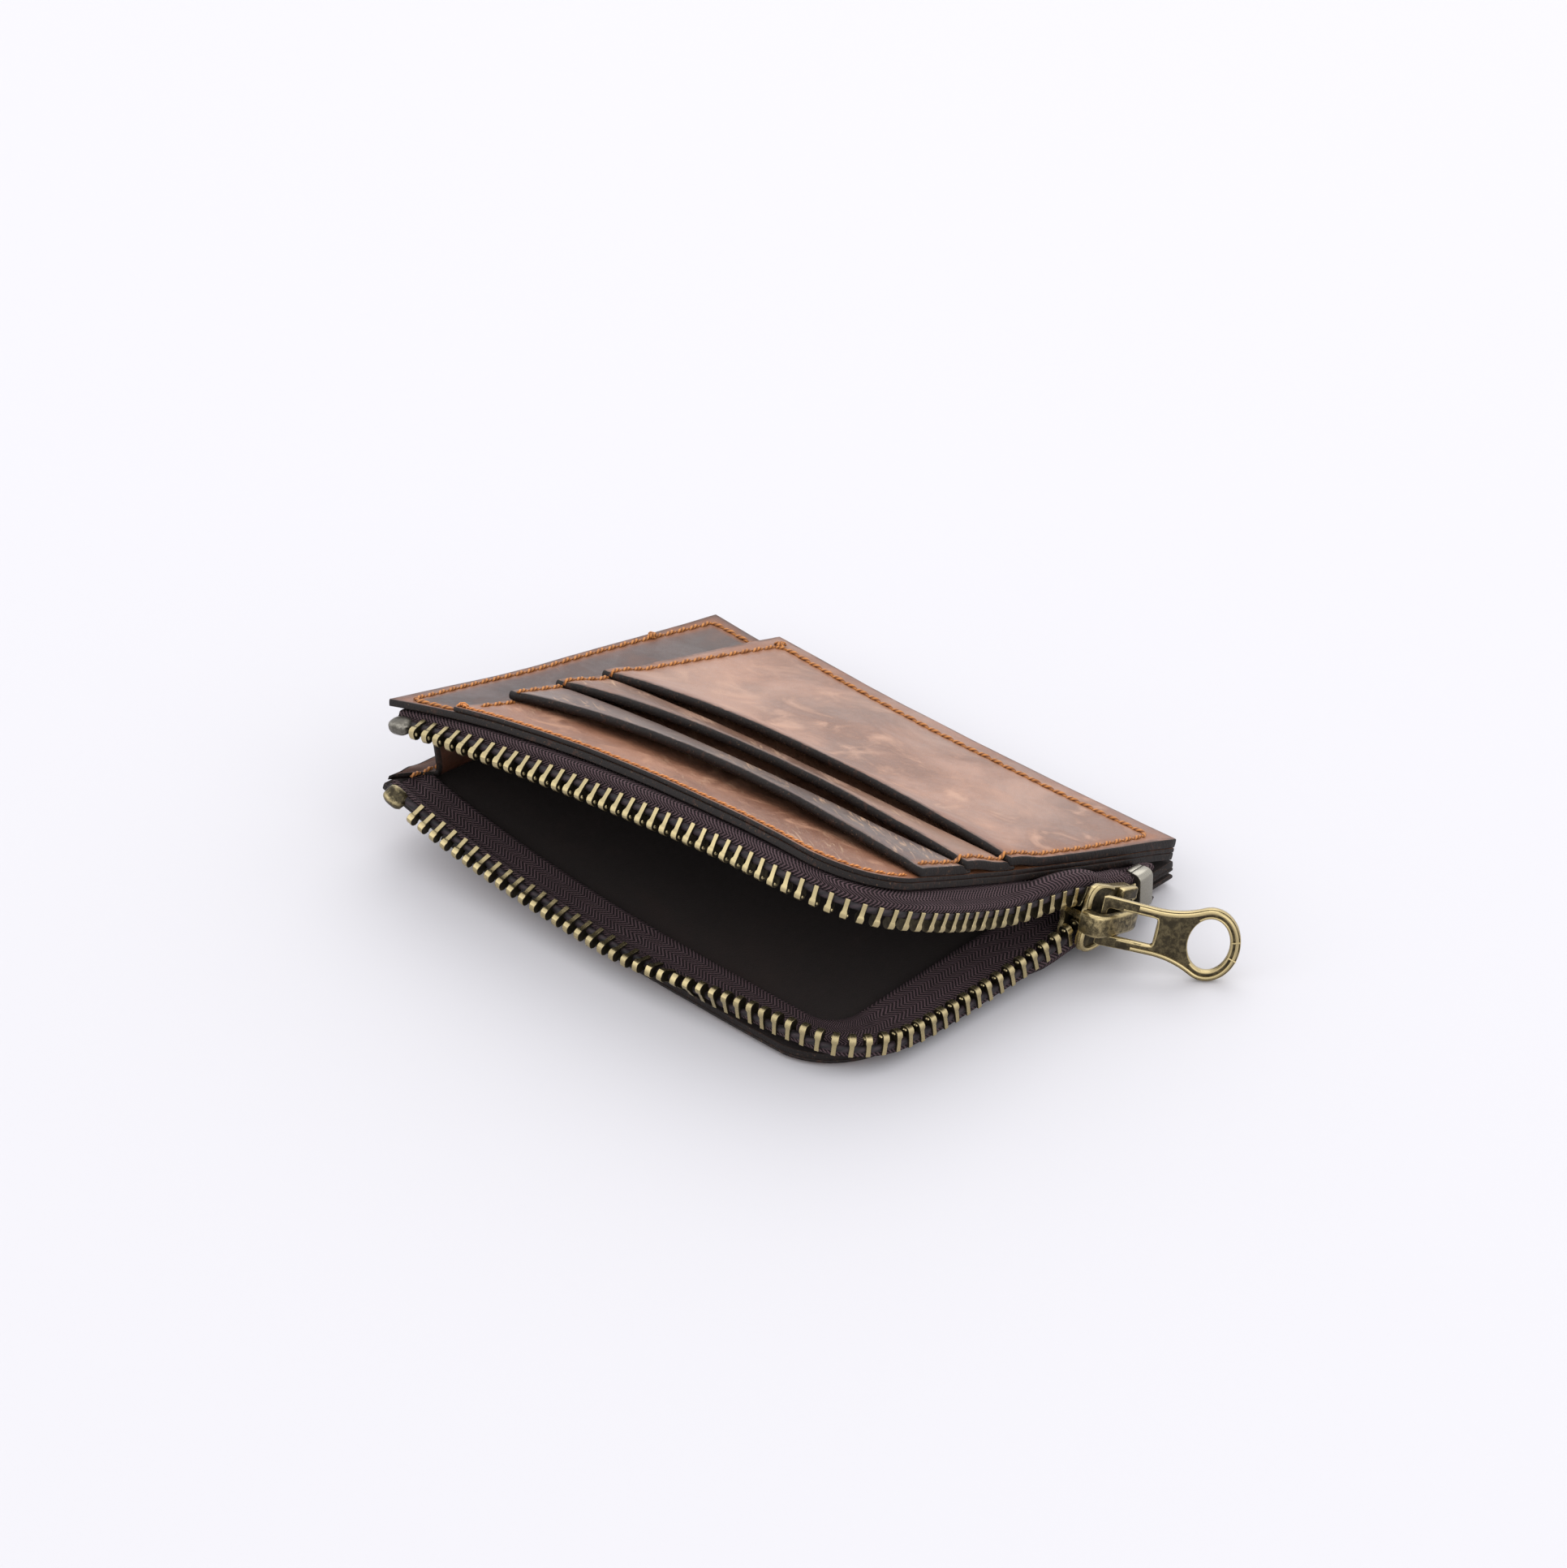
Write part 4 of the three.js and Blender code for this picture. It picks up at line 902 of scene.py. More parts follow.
class Spline:
    """Centripetal Catmull-Rom curve through points, with even steps of its parameter."""

    def __init__(self, points):
        p = np.array(points, float)
        self.p = np.vstack([2 * p[0] - p[1], p, 2 * p[-1] - p[-2]])
        self.spans = len(p) - 1

    def at(self, t):
        place = min(max(t, 0.0), 1.0) * self.spans
        i = min(int(place), self.spans - 1)
        w = place - i
        p0, p1, p2, p3 = self.p[i : i + 4]
        d0, d1, d2 = (max(np.linalg.norm(b - a) ** 0.5, 1e-4) for a, b in ((p0, p1), (p1, p2), (p2, p3)))
        t1 = ((p1 - p0) / d0 - (p2 - p0) / (d0 + d1) + (p2 - p1) / d1) * d1
        t2 = ((p2 - p1) / d1 - (p3 - p1) / (d1 + d2) + (p3 - p2) / d2) * d1
        c2 = -3 * p1 + 3 * p2 - 2 * t1 - t2
        c3 = 2 * p1 - 2 * p2 + t1 + t2
        return p1 + t1 * w + c2 * w * w + c3 * w**3


class Chain:
    """Bead line and tooth direction of one row, from its top stop to its end stop."""

    def __init__(self, shell, stations, side):
        beads, tips, distances = [], [], []
        for distance, out_by, up_by, lean in stations:
            level = np.append(outline(distance)[2], 0)
            bead = tape_seam(shell, distance, 0) + level * out_by + np.array([0, 0, up_by])
            angle = math.radians(lean)
            beads.append(bead)
            tips.append(bead + level * math.cos(angle) + np.array([0, 0, math.sin(angle)]))
            distances.append(distance)
        for along, spread in ((-SLIDER_HALF, NOSE_SPREAD), (0, BEAD_SPREAD), (SLIDER_HALF, BEAD_SPREAD)):
            beads.append(slider_point(0, along, side * spread))
            tips.append(slider_point(0, along, side * (spread - 1)))
        end = slider_point(0, SLIDER_HALF, 0) + np.array([0, CHAIN_END_RUN, 0])
        beads.append(end + np.array([0, 0, side * BEAD_SPREAD]))
        tips.append(end + np.array([0, 0, side * (BEAD_SPREAD - 1)]))
        self.shell = shell
        self.distances = distances + [self.side_distance(b[1]) for b in beads[len(distances):]]
        self.beads, self.tips = Spline(beads), Spline(tips)
        spans = len(beads) - 1
        steps = 60 * spans
        line = np.array([self.beads.at(k / steps) for k in range(steps + 1)])
        self.runs = np.concatenate([[0], np.cumsum(np.linalg.norm(np.diff(line, axis=0), axis=1))])
        self.length = self.runs[-1]
        self.slider_tail = self.runs[60 * (spans - 1)]
        self.steps = steps

    def side_distance(self, y):
        near, far = CORNER_START, BACK
        for _ in range(30):
            v = (near + far) / 2
            if self.shell.middle(np.array(HALF_LENGTH), np.array(v))[1] < y:
                near = v
            else:
                far = v
        return FRONT_RUN + CORNER_RUN + near - CORNER_START

    def parameter(self, run):
        return float(np.interp(run, self.runs, np.arange(self.steps + 1) / self.steps))

    def outline_distance(self, t):
        return float(np.interp(t * self.beads.spans, range(len(self.distances)), self.distances))

    def frame(self, t):
        bead = self.beads.at(t)
        along = self.beads.at(t + 1e-3) - self.beads.at(t - 1e-3)
        along /= np.linalg.norm(along)
        tooth = self.tips.at(t) - bead
        tooth -= along * tooth.dot(along)
        tooth /= np.linalg.norm(tooth)
        return bead, tooth, along, np.cross(along, tooth)


FRONT_ROW = Chain(FRONT, FRONT_CHAIN, 1)
BACK_ROW = Chain(REAR, BACK_CHAIN, -1)


NIB_SIDES = 8
STOP_SIDES = 16
STOP_RINGS = 11


def tooth_outline():
    """Side view of a tooth, (reach, height, half width): two legs round the cord and a head."""
    half = [(-1.0, 0.72, 0.42), (-1.02, 1.02, 0.42), (-0.9, 1.1, 0.45), (0.2, 1.08, 0.42)]
    half += [(1.15, 1.03, 0.45), (1.4, 1.08, 0.54), (1.65, 1.15, 0.63), (2.1, 1.10, 0.64)]
    half += [(2.5, 0.90, 0.62), (2.74, 0.5, 0.60)]
    inner = [(-0.95, 0.62), (-0.3, 0.70), (0.3, 0.64), (0.62, 0.36), (0.72, 0.0)]
    outer = half + [(2.8, 0.0, 0.60)] + [(r, -h, w) for r, h, w in half[::-1]]
    hollow = [(r, -h, 0.38) for r, h in inner[:-1]] + [(r, h, 0.38) for r, h in inner[::-1]]
    return outer + hollow


def tooth_parts(chain, run, turn):
    """One crimped tooth at a run along the chain, with bright bevelled edges, sides darkened as painted
    shade, and its nib.
    """
    bead, tooth, along, across = chain.frame(chain.parameter(run))
    tilt = random.uniform(-0.05, 0.05)
    along, tooth = along + tooth * tilt, tooth - along * tilt
    profile = tooth_outline()
    points, rub = [], []
    # Side caps get 0, painted shade of the narrow gaps between teeth; faces get 1, wear and painted
    # highlight.
    for inset, share, bright in ((0.09, -1.0, 0.0), (0.0, -0.84, 1.0), (0.0, 0.84, 1.0), (0.09, 1.0, 0.0)):
        for r, h, w in profile:
            rr = r - inset * (1 if r > 0.9 else -1) * (0.8 if abs(h) < 0.9 else 0.3)
            hh = h - inset * (1 if h > 0 else -1) * (1 if abs(h) > 0.65 else 0)
            points.append(bead + tooth * rr + across * hh + along * w * share)
            rub.append(bright)
    faces = ring_faces(4, len(profile)) + ring_faces(3, NIB_SIDES, 4 * len(profile))
    for ring_share, reach in ((1.0, 0.45), (0.75, 0.76), (0.3, 0.88)):
        for s in range(NIB_SIDES):
            angle = 2 * math.pi * s / NIB_SIDES
            points.append(
                bead + tooth * (2.1 + 0.36 * ring_share * math.cos(angle))
                + across * 0.5 * ring_share * math.sin(angle) + along * turn * reach
            )
            rub.append(0.7)
    return points, faces, rub


def tube(path, radii, sides=10):
    """Closed tube along a path, with its strand value for the cord's twist."""
    path = np.array(path)
    tangent = np.gradient(path, axis=0)
    tangent /= np.linalg.norm(tangent, axis=1, keepdims=True)
    points, values = [], []
    for k, (p, t) in enumerate(zip(path, tangent)):
        a = np.cross(t, [0.0, 0.0, 1.0])
        a /= np.linalg.norm(a)
        b = np.cross(a, t)
        for s in range(sides):
            angle = 2 * math.pi * s / sides
            points.append(p + radii[k] * (math.cos(angle) * a + math.sin(angle) * b))
            values.append(0.5 + 0.5 * math.cos(3 * angle - k * 1.1))
    return points, ring_faces(len(path), sides), values


def stem_length(y):
    """Length of bare tape behind the teeth, longest before the slider."""
    along = y - SLIDER_CENTRE[1]
    smooth = lambda t: min(max(t, 0), 1) ** 2 * (3 - 2 * min(max(t, 0), 1))
    return 0.35 + 2.1 * smooth((along + 22) / 13) * (1 - smooth((along - 6.5) / 2.5))


def tape_columns(chain, t):
    """Points across the tape, from under the leather to the bead."""
    bead, tooth, along, across = chain.frame(t)
    distance = chain.outline_distance(t)
    root = bead - tooth * 0.55
    base = bead - tooth * (TOOTH_REAR + stem_length(bead[1]))
    start = tape_seam(chain.shell, distance, 0)
    base_out = (base - start).dot(np.append(outline(distance)[2], 0))
    straight = 1 - min(max((distance - 100) / 7, 0), 1)
    raised = straight * min(max(bead[2] - start[2], 0), 1)
    inset = max(0.5 - base_out, -0.55) + 1.5 * raised
    edge = tape_seam(chain.shell, distance, inset)
    middle = tape_seam(chain.shell, distance, max(6, inset + 2) / 2 + inset / 2)
    inner = tape_seam(chain.shell, distance, max(6, inset + 2) + 2.5)
    bend = edge - base
    bend = bend - tooth * bend.dot(tooth) + base
    return [inner, middle, edge, edge * 0.45 + bend * 0.55, base, root]


def smooth_row(columns, count):
    """Points along a curve that runs near the given ones without sharp bends."""
    p = np.array(columns)
    for _ in range(2):
        q = 0.75 * p[:-1] + 0.25 * p[1:]
        r = 0.25 * p[:-1] + 0.75 * p[1:]
        p = np.vstack([p[:1], np.stack([q, r], 1).reshape(-1, 3), p[-1:]])
    run = np.concatenate([[0], np.cumsum(np.linalg.norm(np.diff(p, axis=0), axis=1))])
    at = np.linspace(0, run[-1], count)
    return np.stack([np.interp(at, run, p[:, k]) for k in range(3)], -1), at


def sheet(name, grid, thickness, material, uv, values=None):
    """Closed piece of even thickness round a grid of points."""
    normal = np.cross(np.gradient(grid, axis=0), np.gradient(grid, axis=1))
    half = normal / np.linalg.norm(normal, axis=-1, keepdims=True) * thickness / 2
    points = np.concatenate([(grid + half).reshape(-1, 3), (grid - half).reshape(-1, 3)])
    uv = np.asarray(uv, float).reshape(-1, 2)
    doubled = {key: np.tile(np.ravel(numbers), 2) for key, numbers in (values or {}).items()}
    faces = slab_faces(*grid.shape[:2])
    return build(name, points, faces, material, np.concatenate([uv, uv + [0.0, 0.3]]) * MM, doubled)


def tape_piece(name, node, chain, body):
    """Woven tape of one row, bent along its chain."""
    columns = 16
    runs = np.linspace(0.2, chain.length, 260)
    rows, places = [], []
    for run in runs:
        row, across = smooth_row(tape_columns(chain, chain.parameter(run)), columns)
        rows.append(row)
        places.append([(run, across[-1] - a) for a in across])
    piece = sheet(name, np.array(rows), TAPE_THICKNESS, TAPE, places)
    settle(piece, body)
    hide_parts(node)
    return piece


def settle(piece, body):
    """Pieces of the front row, shaped from the front shell to the slider's end of the chain, keep their baked
    places; other pieces are attached to their body.
    """
    if body == "front_shell":
        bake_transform(piece)
    else:
        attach(piece, body)


def zipper_half(side, chain, body, tail, turn):
    """Tape, teeth and bead cord of one row."""
    tape_piece(f"{side}_zip_tape_woven", f"{side}_zip_tape", chain, body)
    to = chain.slider_tail + tail
    count = int((to - CHAIN_START - 0.3) / TOOTH_PITCH)
    parts = [tooth_parts(chain, to - i * TOOTH_PITCH + 0.55, turn) for i in range(count, 0, -1)]
    points, faces, rub = gather(parts)
    teeth = build(f"{side}_teeth", points, faces, BRASS, values={"rub": rub})
    crisp(teeth, 28)
    settle(teeth, body)
    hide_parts(f"{side}_tooth_row")
    runs = np.linspace(0.4, chain.slider_tail + 3.5, 420)
    line = [chain.frame(chain.parameter(r))[0] for r in runs]
    points, faces, strand = tube(line, [0.68] * len(line))
    cord = build(f"{side}_bead_cord", points, faces, CORD, values={"strand": strand})
    settle(cord, body)


FRONT_ROW_TAIL = 4.35
zipper_half("front", FRONT_ROW, "front_shell", FRONT_ROW_TAIL, 1)
zipper_half("back", BACK_ROW, "back_shell", FRONT_ROW_TAIL - 1.5 * TOOTH_PITCH, -1)


# ---------------------------------------------------------------- gusset


GUSSET_THICKNESS = 0.95
LEAF = 3.4


def leaf_place(u, v, lift):
    """Places on the free face of the gusset's lower leaf, over the tape at its front end."""
    over_tape = np.clip((-35.0 - np.asarray(v)) / 3.5, 0, 1)
    level = -BODY - 0.15 - GUSSET_THICKNESS - 0.75 * over_tape * over_tape * (3 - 2 * over_tape)
    return REAR.point(u, v, level - lift)


def gusset_piece():
    """V-folded strip that closes the short side, with a leaf sewn to each shell."""
    left = 0.4 - HALF_LENGTH
    far = BACK - 7
    rows = []
    for share in np.linspace(0, 1, 64):
        place = lambda first: first + (far - first) * share
        half = -GUSSET_THICKNESS / 2
        leaf = ((0, -42.0), (0.5, -37.6), (1.0, -33.4))
        lower = [leaf_place(left + k * LEAF, place(v), half) for k, v in leaf]
        under = FRONT.point(left, place(-36.0), -BODY - 0.12 + half)
        under_in = FRONT.point(left + 2.8, place(-34.6), -BODY - 0.2 + half)
        apex = lower[-1] + [0.9 + 2.4 * math.sin(share * 2.2), 0, 1.1]
        middle = apex * 0.5 + under_in * 0.5 + [0.5 - 0.9 * (1 - share), 0, 0]
        rows.append(smooth_row([under, under_in, middle, apex] + lower[::-1], 30)[0])
    grid = np.array(rows)
    i_at, j_at = np.meshgrid(np.arange(64), np.arange(30), indexing="ij")
    rim = np.minimum(np.minimum(i_at, 63 - i_at) * 1.2, np.minimum(j_at, 29 - j_at) * 1.0)
    uv = np.stack([i_at * 1.15, j_at * 0.95], -1)
    values = {"edge": rim, "paint": (rim < 0.1) * 1.0, "flesh": 0.0 * rim, "seam": 0.0 * rim + 9}
    piece = sheet("gusset_leather", grid, GUSSET_THICKNESS, GUSSET_LEATHER, uv, values)
    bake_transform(piece)
    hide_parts("gusset")


gusset_piece()
LEAF_SEAM = [(2.5 - HALF_LENGTH, -38.8), (2.2 - HALF_LENGTH, 30)]
stitch_line("gusset_leaf_stitches", "back_shell", leaf_place, LEAF_SEAM, radius=0.38)

# ---------------------------------------------------------------- metal parts


def corner_offsets(outline, inset):
    """Outline moved inwards by inset; it runs anticlockwise."""
    p = np.array(outline, float)
    before, after = p - np.roll(p, 1, 0), np.roll(p, -1, 0) - p
    before /= np.linalg.norm(before, axis=1, keepdims=True)
    after /= np.linalg.norm(after, axis=1, keepdims=True)
    left = lambda d: np.stack([-d[:, 1], d[:, 0]], -1)
    mitre = left(before) + left(after)
    size = (mitre * left(before)).sum(1)
    return p + inset * mitre / np.maximum(size, 0.6)[:, None]


def prism(outline, low, high, edge, steps=2):
    """Closed prism of (a, b) outlines between two levels, its rims rounded over edge."""
    loops = []
    for k in range(steps + 1):
        turn = math.pi / 2 * k / steps
        level = low + edge * (1 - math.cos(turn))
        # Caps stay dark, patina and painted shade; the rounded rims are bright, rubbing and painted
        # highlight.
        loops.append((edge * (1 - math.sin(turn)), level, 0.15 if k == 0 else 1.0))
    loops += [(inset, low + high - level, rub) for inset, level, rub in loops[::-1]]
    points, rub = [], []
    for inset, level, bright in loops:
        for a, b in corner_offsets(outline, inset):
            points.append((a, b, level))
            rub.append(bright)
    return points, ring_faces(len(loops), len(outline)), rub


def arc(centre, radius, first, last, count):
    """Places on an ellipse between two angles in degrees."""
    turns = np.radians(np.linspace(first, last, count))
    return [(centre[0] + radius[0] * math.cos(t), centre[1] + radius[1] * math.sin(t)) for t in turns]


def rounded_box(a0, a1, b0, b1, radius, count=5):
    """Outline of a box with round corners, anticlockwise."""
    outline = []
    for a, b, first in ((a1, b0, -90), (a1, b1, 0), (a0, b1, 90), (a0, b0, 180)):
        centre = (a - radius if a == a1 else a + radius, b - radius if b == b1 else b + radius)
        outline += arc(centre, (radius, radius), first, first + 90, count)
    return outline


def placed(part, place):
    points, faces, values = part
    return [place(*p) for p in points], faces, values


def metal(name, parts, body, material, nodes, angle=32):
    """One metal piece from its parts, with edges sharper than angle kept crisp."""
    points, faces, rub = gather(parts)
    piece = build(name, points, faces, material, values={"rub": rub})
    crisp(piece, angle)
    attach(piece, body)
    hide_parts(*nodes)
    return piece


def ridge(path, radius, bright=1.0, sides=8):
    """Raised bead of metal along a path."""
    points, faces, values = tube(path, [radius] * len(path), sides)
    return points, faces, [bright] * len(values)


def top_stop(chain, side, material):
    """Crimped block at the free end of a row, rounded like a bean."""
    points, rub = [], []
    for share in np.linspace(-1, 1, STOP_RINGS):
        full = max(1 - abs(share) ** 3.2, 0.02) ** (1 / 2.6)
        bead, tooth, along, across = chain.frame(chain.parameter(2.75 + 2.25 * share))
        for s in range(STOP_SIDES):
            angle = 2 * math.pi * s / STOP_SIDES
            c, d = math.cos(angle), math.sin(angle)
            squircle = (abs(c) ** 3.4 + abs(d) ** 3.4) ** (-1 / 3.4)
            bulge = full * squircle
            points.append(bead + tooth * (0.75 + 1.75 * bulge * c) + across * 1.3 * bulge * d)
            # Brighter towards the block's rounded corners: rubbing and painted highlight.
            rub.append(0.15 + 0.6 * (squircle - 1) / 0.2)
    part = (points, ring_faces(STOP_RINGS, STOP_SIDES), rub)
    metal(f"{side}_top_stop_crimped", [part], f"{side}_shell", material, [f"{side}_top_stop"], 60)


top_stop(FRONT_ROW, "front", STEEL)
top_stop(BACK_ROW, "back", BRASS)


# Slider: prisms whose outline is (length, width) and whose level is outwards, and the bail.
def flat_in_slider(length, width, outwards):
    return slider_point(outwards, length, width)


def side_in_slider(length, outwards, width):
    return slider_point(outwards, length, width)


def plate_outline():
    """Outline of a slider plate, narrow at its tail and with two wings at its nose."""
    half = [(5.4, 0.0), (5.4, 3.6), (5.1, 4.3), (4.3, 4.7), (0.0, 5.2), (-2.4, 5.9), (-4.4, 6.2)]
    half += [(-5.6, 5.8), (-6.3, 4.8), (-6.5, 3.5), (-6.35, 2.2), (-6.5, 1.0), (-6.9, 0.0)]
    return half + [(a, -b) for a, b in half[-2:0:-1]]


def slider_piece():
    """Two winged plates with lips, the post between them and the block behind the bail."""
    outer, inner = 2.65, 1.55
    plate = plate_outline()
    parts = [placed(prism(plate, inner, outer, 0.25), flat_in_slider)]
    parts.append(placed(prism(plate, -outer, -inner, 0.25), flat_in_slider))
    wing = [(-0.5, 5.0), (-2.4, 5.65), (-4.2, 5.85), (-5.3, 5.5), (-6.0, 4.6), (-6.15, 3.4), (-6.0, 2.2)]
    for side in (-1, 1):
        path = smooth_row([(a, side * b, outer + 0.12) for a, b in wing], 22)[0]
        parts.append(placed(ridge(path, 0.42), flat_in_slider))
        lip = [(5.1, 3.7), (5.1, 4.5), (0, 5.05), (-2.6, 5.7), (-2.6, 4.9), (0, 4.3)]
        lip = [(a, side * b) for a, b in lip][:: side]
        parts.append(placed(prism(lip, 0.65, outer - 0.1, 0.12), flat_in_slider))
        parts.append(placed(prism(lip, 0.1 - outer, -0.65, 0.12), flat_in_slider))
    post = [(-6.6, 0.0), (-5.6, -0.75), (-4.8, -0.4), (-4.8, 0.4), (-5.6, 0.75)]
    parts.append(placed(prism(post, 0.2 - outer, outer - 0.2, 0.1), flat_in_slider))
    tail = rounded_box(1.2, 5.4, 2.6, 4.9, 0.5, 3)
    parts.append(placed(prism(tail, 2.4, 3.9, 0.35), flat_in_slider))
    metal("slider_body_cast", parts, "slider", BRASS_DARK, ["slider_body"])


def bail_piece():
    """Bridge that the puller hooks under, a loop of rounded bar over the outer plate."""
    outline = [(-7.5, 2.6), (-7.9, 4.6), (-7.3, 6.1), (-5.8, 6.8), (-2.0, 6.85), (2.2, 6.6)]
    outline += [(4.2, 6.0), (4.9, 4.6), (4.6, 2.6)]
    window = [(-5.6, 3.05), (-5.6, 4.7), (-5.0, 5.4), (-2.0, 5.5), (2.2, 5.4), (3.1, 4.6), (3.1, 3.05)]
    ring = smooth_row(np.array([(a, b, 0.0) for a, b in outline]), 30)[0][:, :2]
    hole = smooth_row(np.array([(a, b, 0.0) for a, b in window]), 30)[0][:, :2]
    half, edge = 2.0, 0.6
    points, rub = [], []
    loops = [(ring, 0.55, -half), (ring, 0.16, -half + 0.16), (ring, 0.0, -half + edge)]
    loops += [(ring, 0.0, half - edge), (ring, 0.16, half - 0.16), (ring, 0.55, half)]
    loops += [(hole, -0.15, half), (hole, 0.0, half - 0.15)]
    loops += [(hole, 0.0, 0.15 - half), (hole, -0.15, -half)]
    middle = np.array([-1.4, 2.6])
    for line, inset, level in loops:
        away = (line - middle) / np.linalg.norm(line - middle, axis=1, keepdims=True)
        for (a, b), (x, y) in zip(line, away):
            points.append((a - x * inset, max(b - y * inset, 2.55), level))
            # The outer rounded rims are bright, rubbing and painted highlight; the rest darker, patina and
            # painted shade.
            rub.append(1.0 if line is ring and 0 < inset < 0.5 else 0.45)
    count = len(ring)
    faces = []
    for k in range(len(loops)):
        n = (k + 1) % len(loops)
        for s in range(count - 1):
            a, b = k * count + s, n * count + s
            faces.append((a, a + 1, b + 1, b))
    for s in (0, count - 1):
        faces.append(tuple(k * count + s for k in range(len(loops))))
    part = placed((points, faces, rub), side_in_slider)
    metal("slider_bail_cast", [part], "slider", BRASS_DARK, ["slider_bail"], 50)


slider_piece()
bail_piece()

PULLER_SWING = math.radians(38)
PULLER_DROOP = math.radians(0.9)
JOINTS = {joint["name"]: joint for joint in frame["record"]["behaviour"]["joints"]}
PULLER_HINGE = JOINTS["puller_swing"]["pos_m"]
RING_CENTRE = (18.9, 0.0)
RING_OUTER = (5.45, 6.65)
RING_HOLE = (3.6, 4.75)


def puller_axes():
    """Directions along the puller, across it and out of its face, as rows."""
    c, s = math.cos(PULLER_SWING), math.sin(PULLER_SWING)
    level, drop = math.cos(PULLER_DROOP), math.sin(PULLER_DROOP)
    turned = [(c * level, s * level, -drop), (c * drop, s * drop, level), (s, -c, 0)]
    return np.array([slider_point(*axis) - SLIDER_CENTRE for axis in turned])


PULLER_AXES = puller_axes()


def in_puller(along, across, out):
    return np.array(PULLER_HINGE) / MM + np.array([along, across, out]) @ PULLER_AXES


def puller_edge(inset=0.0):
    """Upper half of the puller's outline from its bar to the tip of the ring."""
    p0, p1, p2 = np.array([9, 4.3]), np.array([13.2, 4.2]), np.array([17.0, 6.23])
    waist = [(1 - t) ** 2 * p0 + 2 * t * (1 - t) * p1 + t * t * p2 for t in np.linspace(0, 1, 12)]
    ring = arc(RING_CENTRE, RING_OUTER, 110.4, 0, 22)
    line = [(-0.3, 4.3), (0.4, 4.5), (3.0, 4.45), (6.0, 4.35)] + waist + ring[1:]
    line = np.array(line)
    step = np.gradient(line, axis=0)
    step /= np.linalg.norm(step, axis=1, keepdims=True)
    return line + inset * np.stack([step[:, 1], -step[:, 0]], -1)


def holed_plate(outer, holes, half, edge):
    """Flat plate with bevelled rims whose faces are filled round its holes."""
    parts = bmesh.new()
    rub = parts.verts.layers.float.new("rub")
    rims = []
    for outline, inward in [(outer, 1)] + [(hole, -1) for hole in holes]:
        loops = []
        # Face loops stay dark, patina and painted shade; bevels are bright, rubbing and painted highlight.
        bevel = [(edge, half, 0.0), (0.3 * edge, half - 0.3 * edge, 1.0), (0, half - edge, 1.0)]
        for inset, level, bright in bevel + [(a, -b, c) for a, b, c in bevel[::-1]]:
            loop = [parts.verts.new((a, b, level)) for a, b in corner_offsets(outline, inset * inward)]
            for vert in loop:
                vert[rub] = bright
            loops.append(loop)
        for a, b in zip(loops[:-1], loops[1:]):
            for s in range(len(a)):
                parts.faces.new((a[s], b[s], b[(s + 1) % len(a)], a[(s + 1) % len(a)]))
        rims.append(loops)
    for end in (0, -1):
        border = []
        for loops in rims:
            loop = loops[end]
            border += [parts.edges.get((loop[s], loop[(s + 1) % len(loop)])) for s in range(len(loop))]
        bmesh.ops.triangle_fill(parts, edges=border, use_beauty=True)
    parts.verts.index_update()
    points = [tuple(v.co) for v in parts.verts]
    values = [v[rub] for v in parts.verts]
    faces = [tuple(v.index for v in f.verts) for f in parts.faces]
    parts.free()
    return points, faces, values


def puller_piece():
    """Puller with a slotted root, raised rims, an inner ridge and a finger ring."""
    upper = puller_edge()
    outline = [(a, -b) for a, b in upper[:-1]] + [(a, b) for a, b in upper[::-1]]
    slot = rounded_box(0.75, 9.5, -2.5, 2.5, 0.5, 4)
    hole = arc(RING_CENTRE, RING_HOLE, 0, 350, 36)
    parts = [placed(holed_plate(outline, [slot, hole], 0.6, 0.22), in_puller)]
    # The rim ridges are made bright, rubbing and painted highlight; the frame ridge less so.
    for out in (0.6, -0.6):
        line = puller_edge(0.62)[3:]
        rim = [(a, b, out) for a, b in line] + [(a, -b, out) for a, b in line[-2::-1]]
        parts.append(placed(ridge(rim, 0.36), in_puller))
        inner = arc(RING_CENTRE, (3.95, 5.1), -128, 128, 40)
        parts.append(placed(ridge([(a, b, out) for a, b in inner], 0.22), in_puller))
        corners = [(3.4, 2.85), (9.3, 2.85), (9.85, 2.3), (9.85, -2.3), (9.3, -2.85), (3.4, -2.85)]
        frame_line = smooth_row([(a, b, out) for a, b in corners], 30)[0]
        parts.append(placed(ridge(frame_line, 0.16, 0.7), in_puller))
        for turn in (-16, 16):
            c, d = math.cos(math.radians(turn)), math.sin(math.radians(turn))
            steps = [(3.9, 5.0), (4.65, 5.8), (5.4, 6.6)]
            notch = [(RING_CENTRE[0] + a * c, b * d, out + 0.2) for a, b in steps]
            parts.append(placed(ridge(notch, 0.17), in_puller))
    metal("puller_cast", parts, "puller", BRASS_DARK, ["puller"], 40)


puller_piece()


def end_stop_piece():
    """Steel clamp folded round both tapes behind the slider."""
    (x0, y0, z0), (x1, y1, z1) = [[c / MM for c in corner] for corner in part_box("end_stop")]
    z1 += 0.9
    outline = rounded_box(x0, x1, z0, z1, 1.25, 6)
    part = prism(outline, y0, y1, 0.3)
    lip = prism(rounded_box(x0 - 0.5, x0 + 1.6, z1 - 1.2, z1 - 0.1, 0.45, 4), y0 + 0.2, y1 - 0.2, 0.2)
    upright = lambda x, z, y: np.array([x, y, z])
    parts = [placed(part, upright), placed(lip, upright)]
    metal("end_stop_folded", parts, "back_shell", STEEL, ["end_stop"])


end_stop_piece()

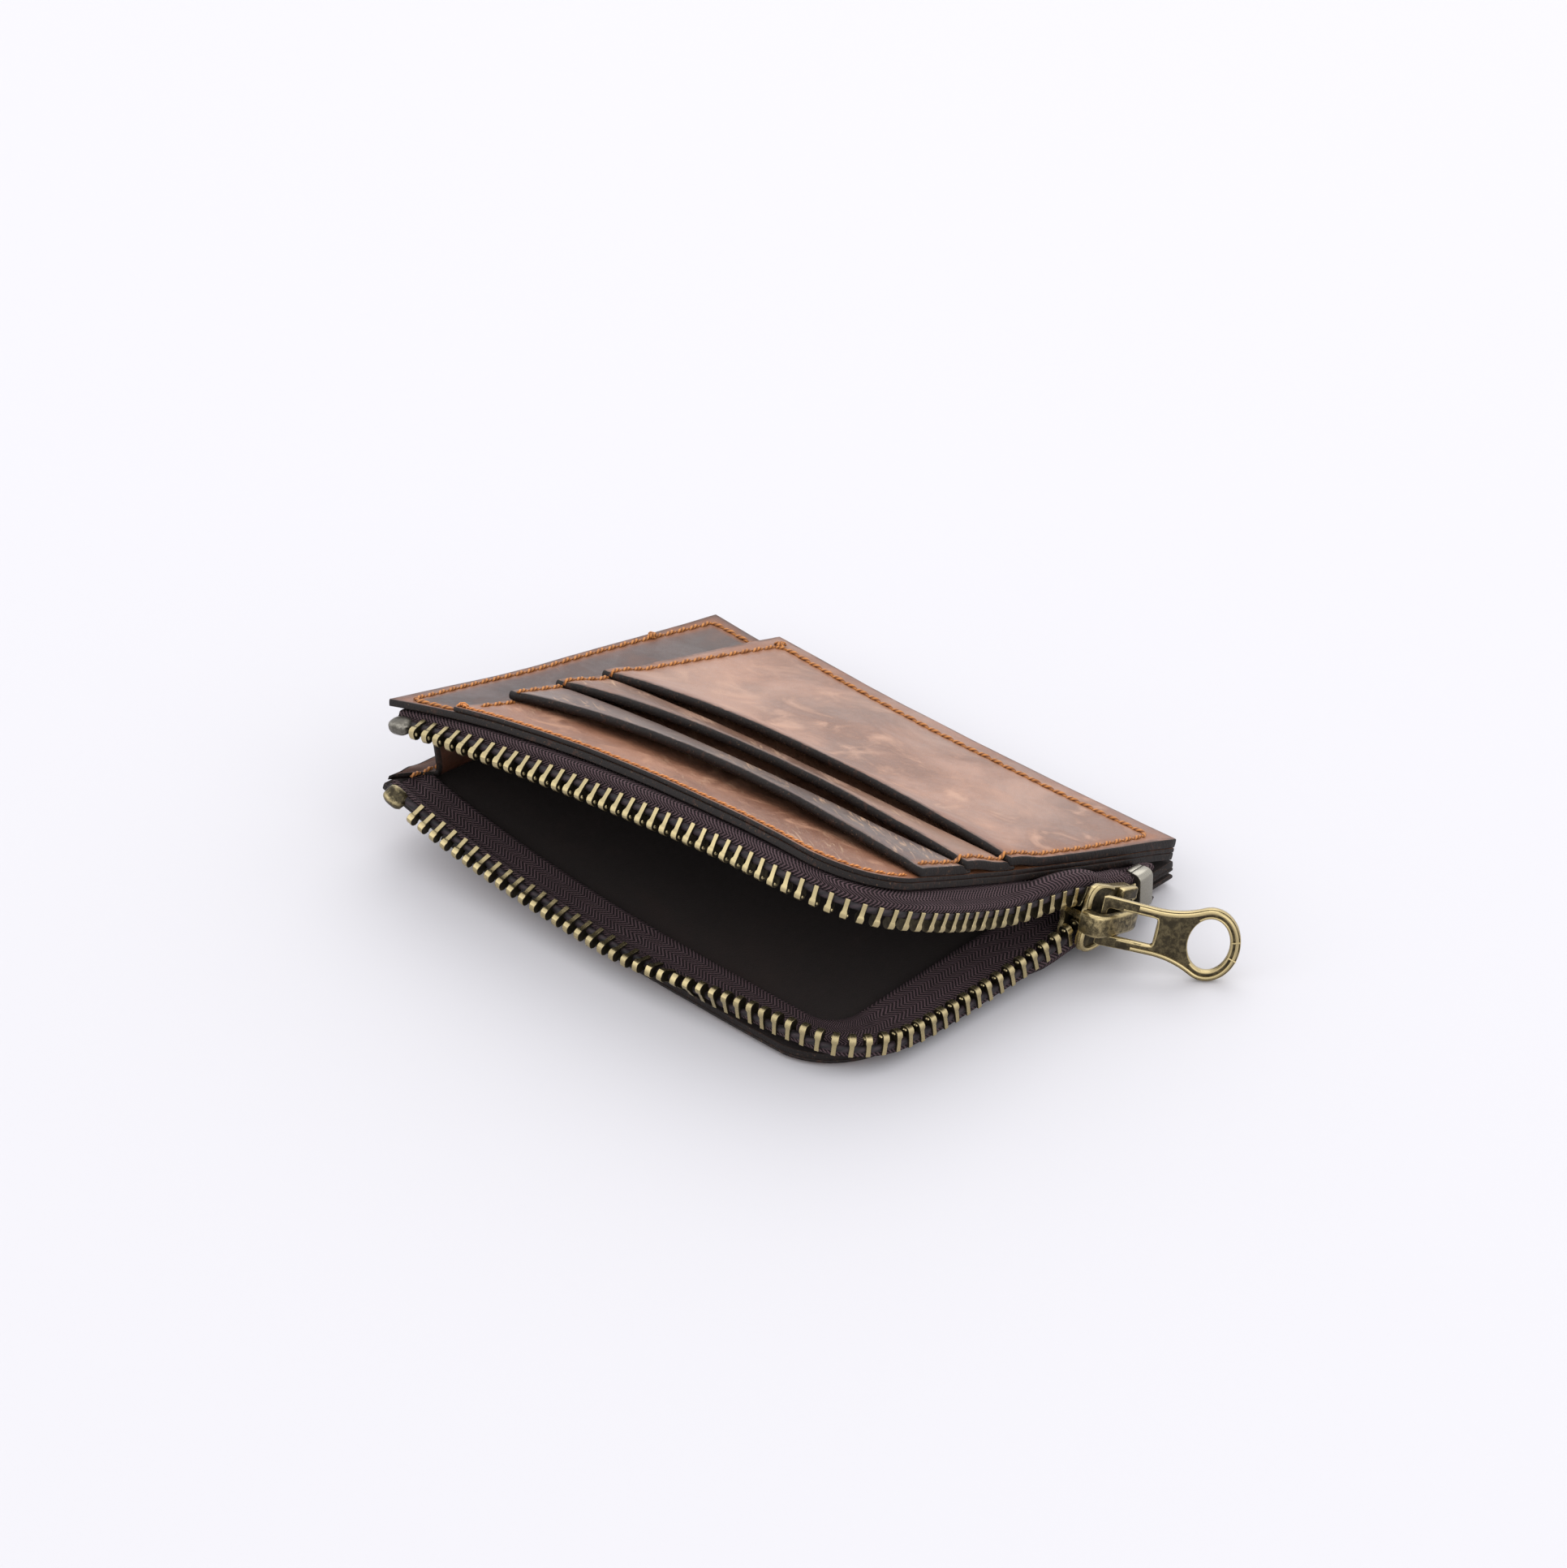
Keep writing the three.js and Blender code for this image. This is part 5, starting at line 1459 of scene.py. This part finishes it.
# ---------------------------------------------------------------- stage


def add_stage():
    """Plain pale floor and an even pale surround."""
    bpy.ops.mesh.primitive_plane_add(size=6)
    floor = bpy.context.object
    floor.name = "floor"
    n = Nodes("pale_floor")
    material = n.finish(Base_Color=(0.535, 0.528, 0.545), Roughness=0.6, Specular_IOR_Level=0.25)
    floor.data.materials.append(material)
    world = bpy.data.worlds.new("studio")
    bpy.context.scene.world = world
    world.use_nodes = True
    background = world.node_tree.nodes["Background"]
    background.inputs[0].default_value = (0.97, 0.97, 1.0, 1)
    background.inputs[1].default_value = 1.5


def add_light(name, place, size, power, target=(0, 0, 0.01)):
    data = bpy.data.lights.new(name, "AREA")
    data.shape = "DISK"
    data.size = size
    data.energy = power
    light = bpy.data.objects.new(name, data)
    light.location = place
    light.rotation_euler = (Vector(target) - Vector(place)).to_track_quat("-Z", "Y").to_euler()
    bpy.context.scene.collection.objects.link(light)


CAMERA_TURN = math.radians(43.45)
CAMERA_RISE = math.radians(33.12)
CAMERA_DISTANCE = 1.508
CAMERA_RIGHT = 0.00156
CAMERA_UP = 0.01361


def add_camera():
    right = Vector((math.cos(CAMERA_TURN), math.sin(CAMERA_TURN), 0))
    level = math.cos(CAMERA_RISE)
    back = Vector((right.y * level, -right.x * level, math.sin(CAMERA_RISE)))
    up = back.cross(right)
    data = bpy.data.cameras.new("camera")
    data.sensor_width = 36
    data.lens = 198.6
    data.clip_end = 20
    camera = bpy.data.objects.new("camera", data)
    place = back * CAMERA_DISTANCE + right * CAMERA_RIGHT + up * CAMERA_UP
    turned = Matrix((right, up, back)).transposed().to_4x4()
    camera.matrix_world = Matrix.Translation(place) @ turned
    bpy.context.scene.collection.objects.link(camera)
    bpy.context.scene.camera = camera


add_stage()
add_light("key", (-0.35, 0.55, 0.95), 0.9, 3.5)
add_light("side", (0.95, -0.15, 0.55), 0.7, 1.4)
add_light("front", (-0.5, -0.9, 0.7), 0.9, 1.4)
add_camera()
bpy.context.scene.view_settings.view_transform = "Standard"
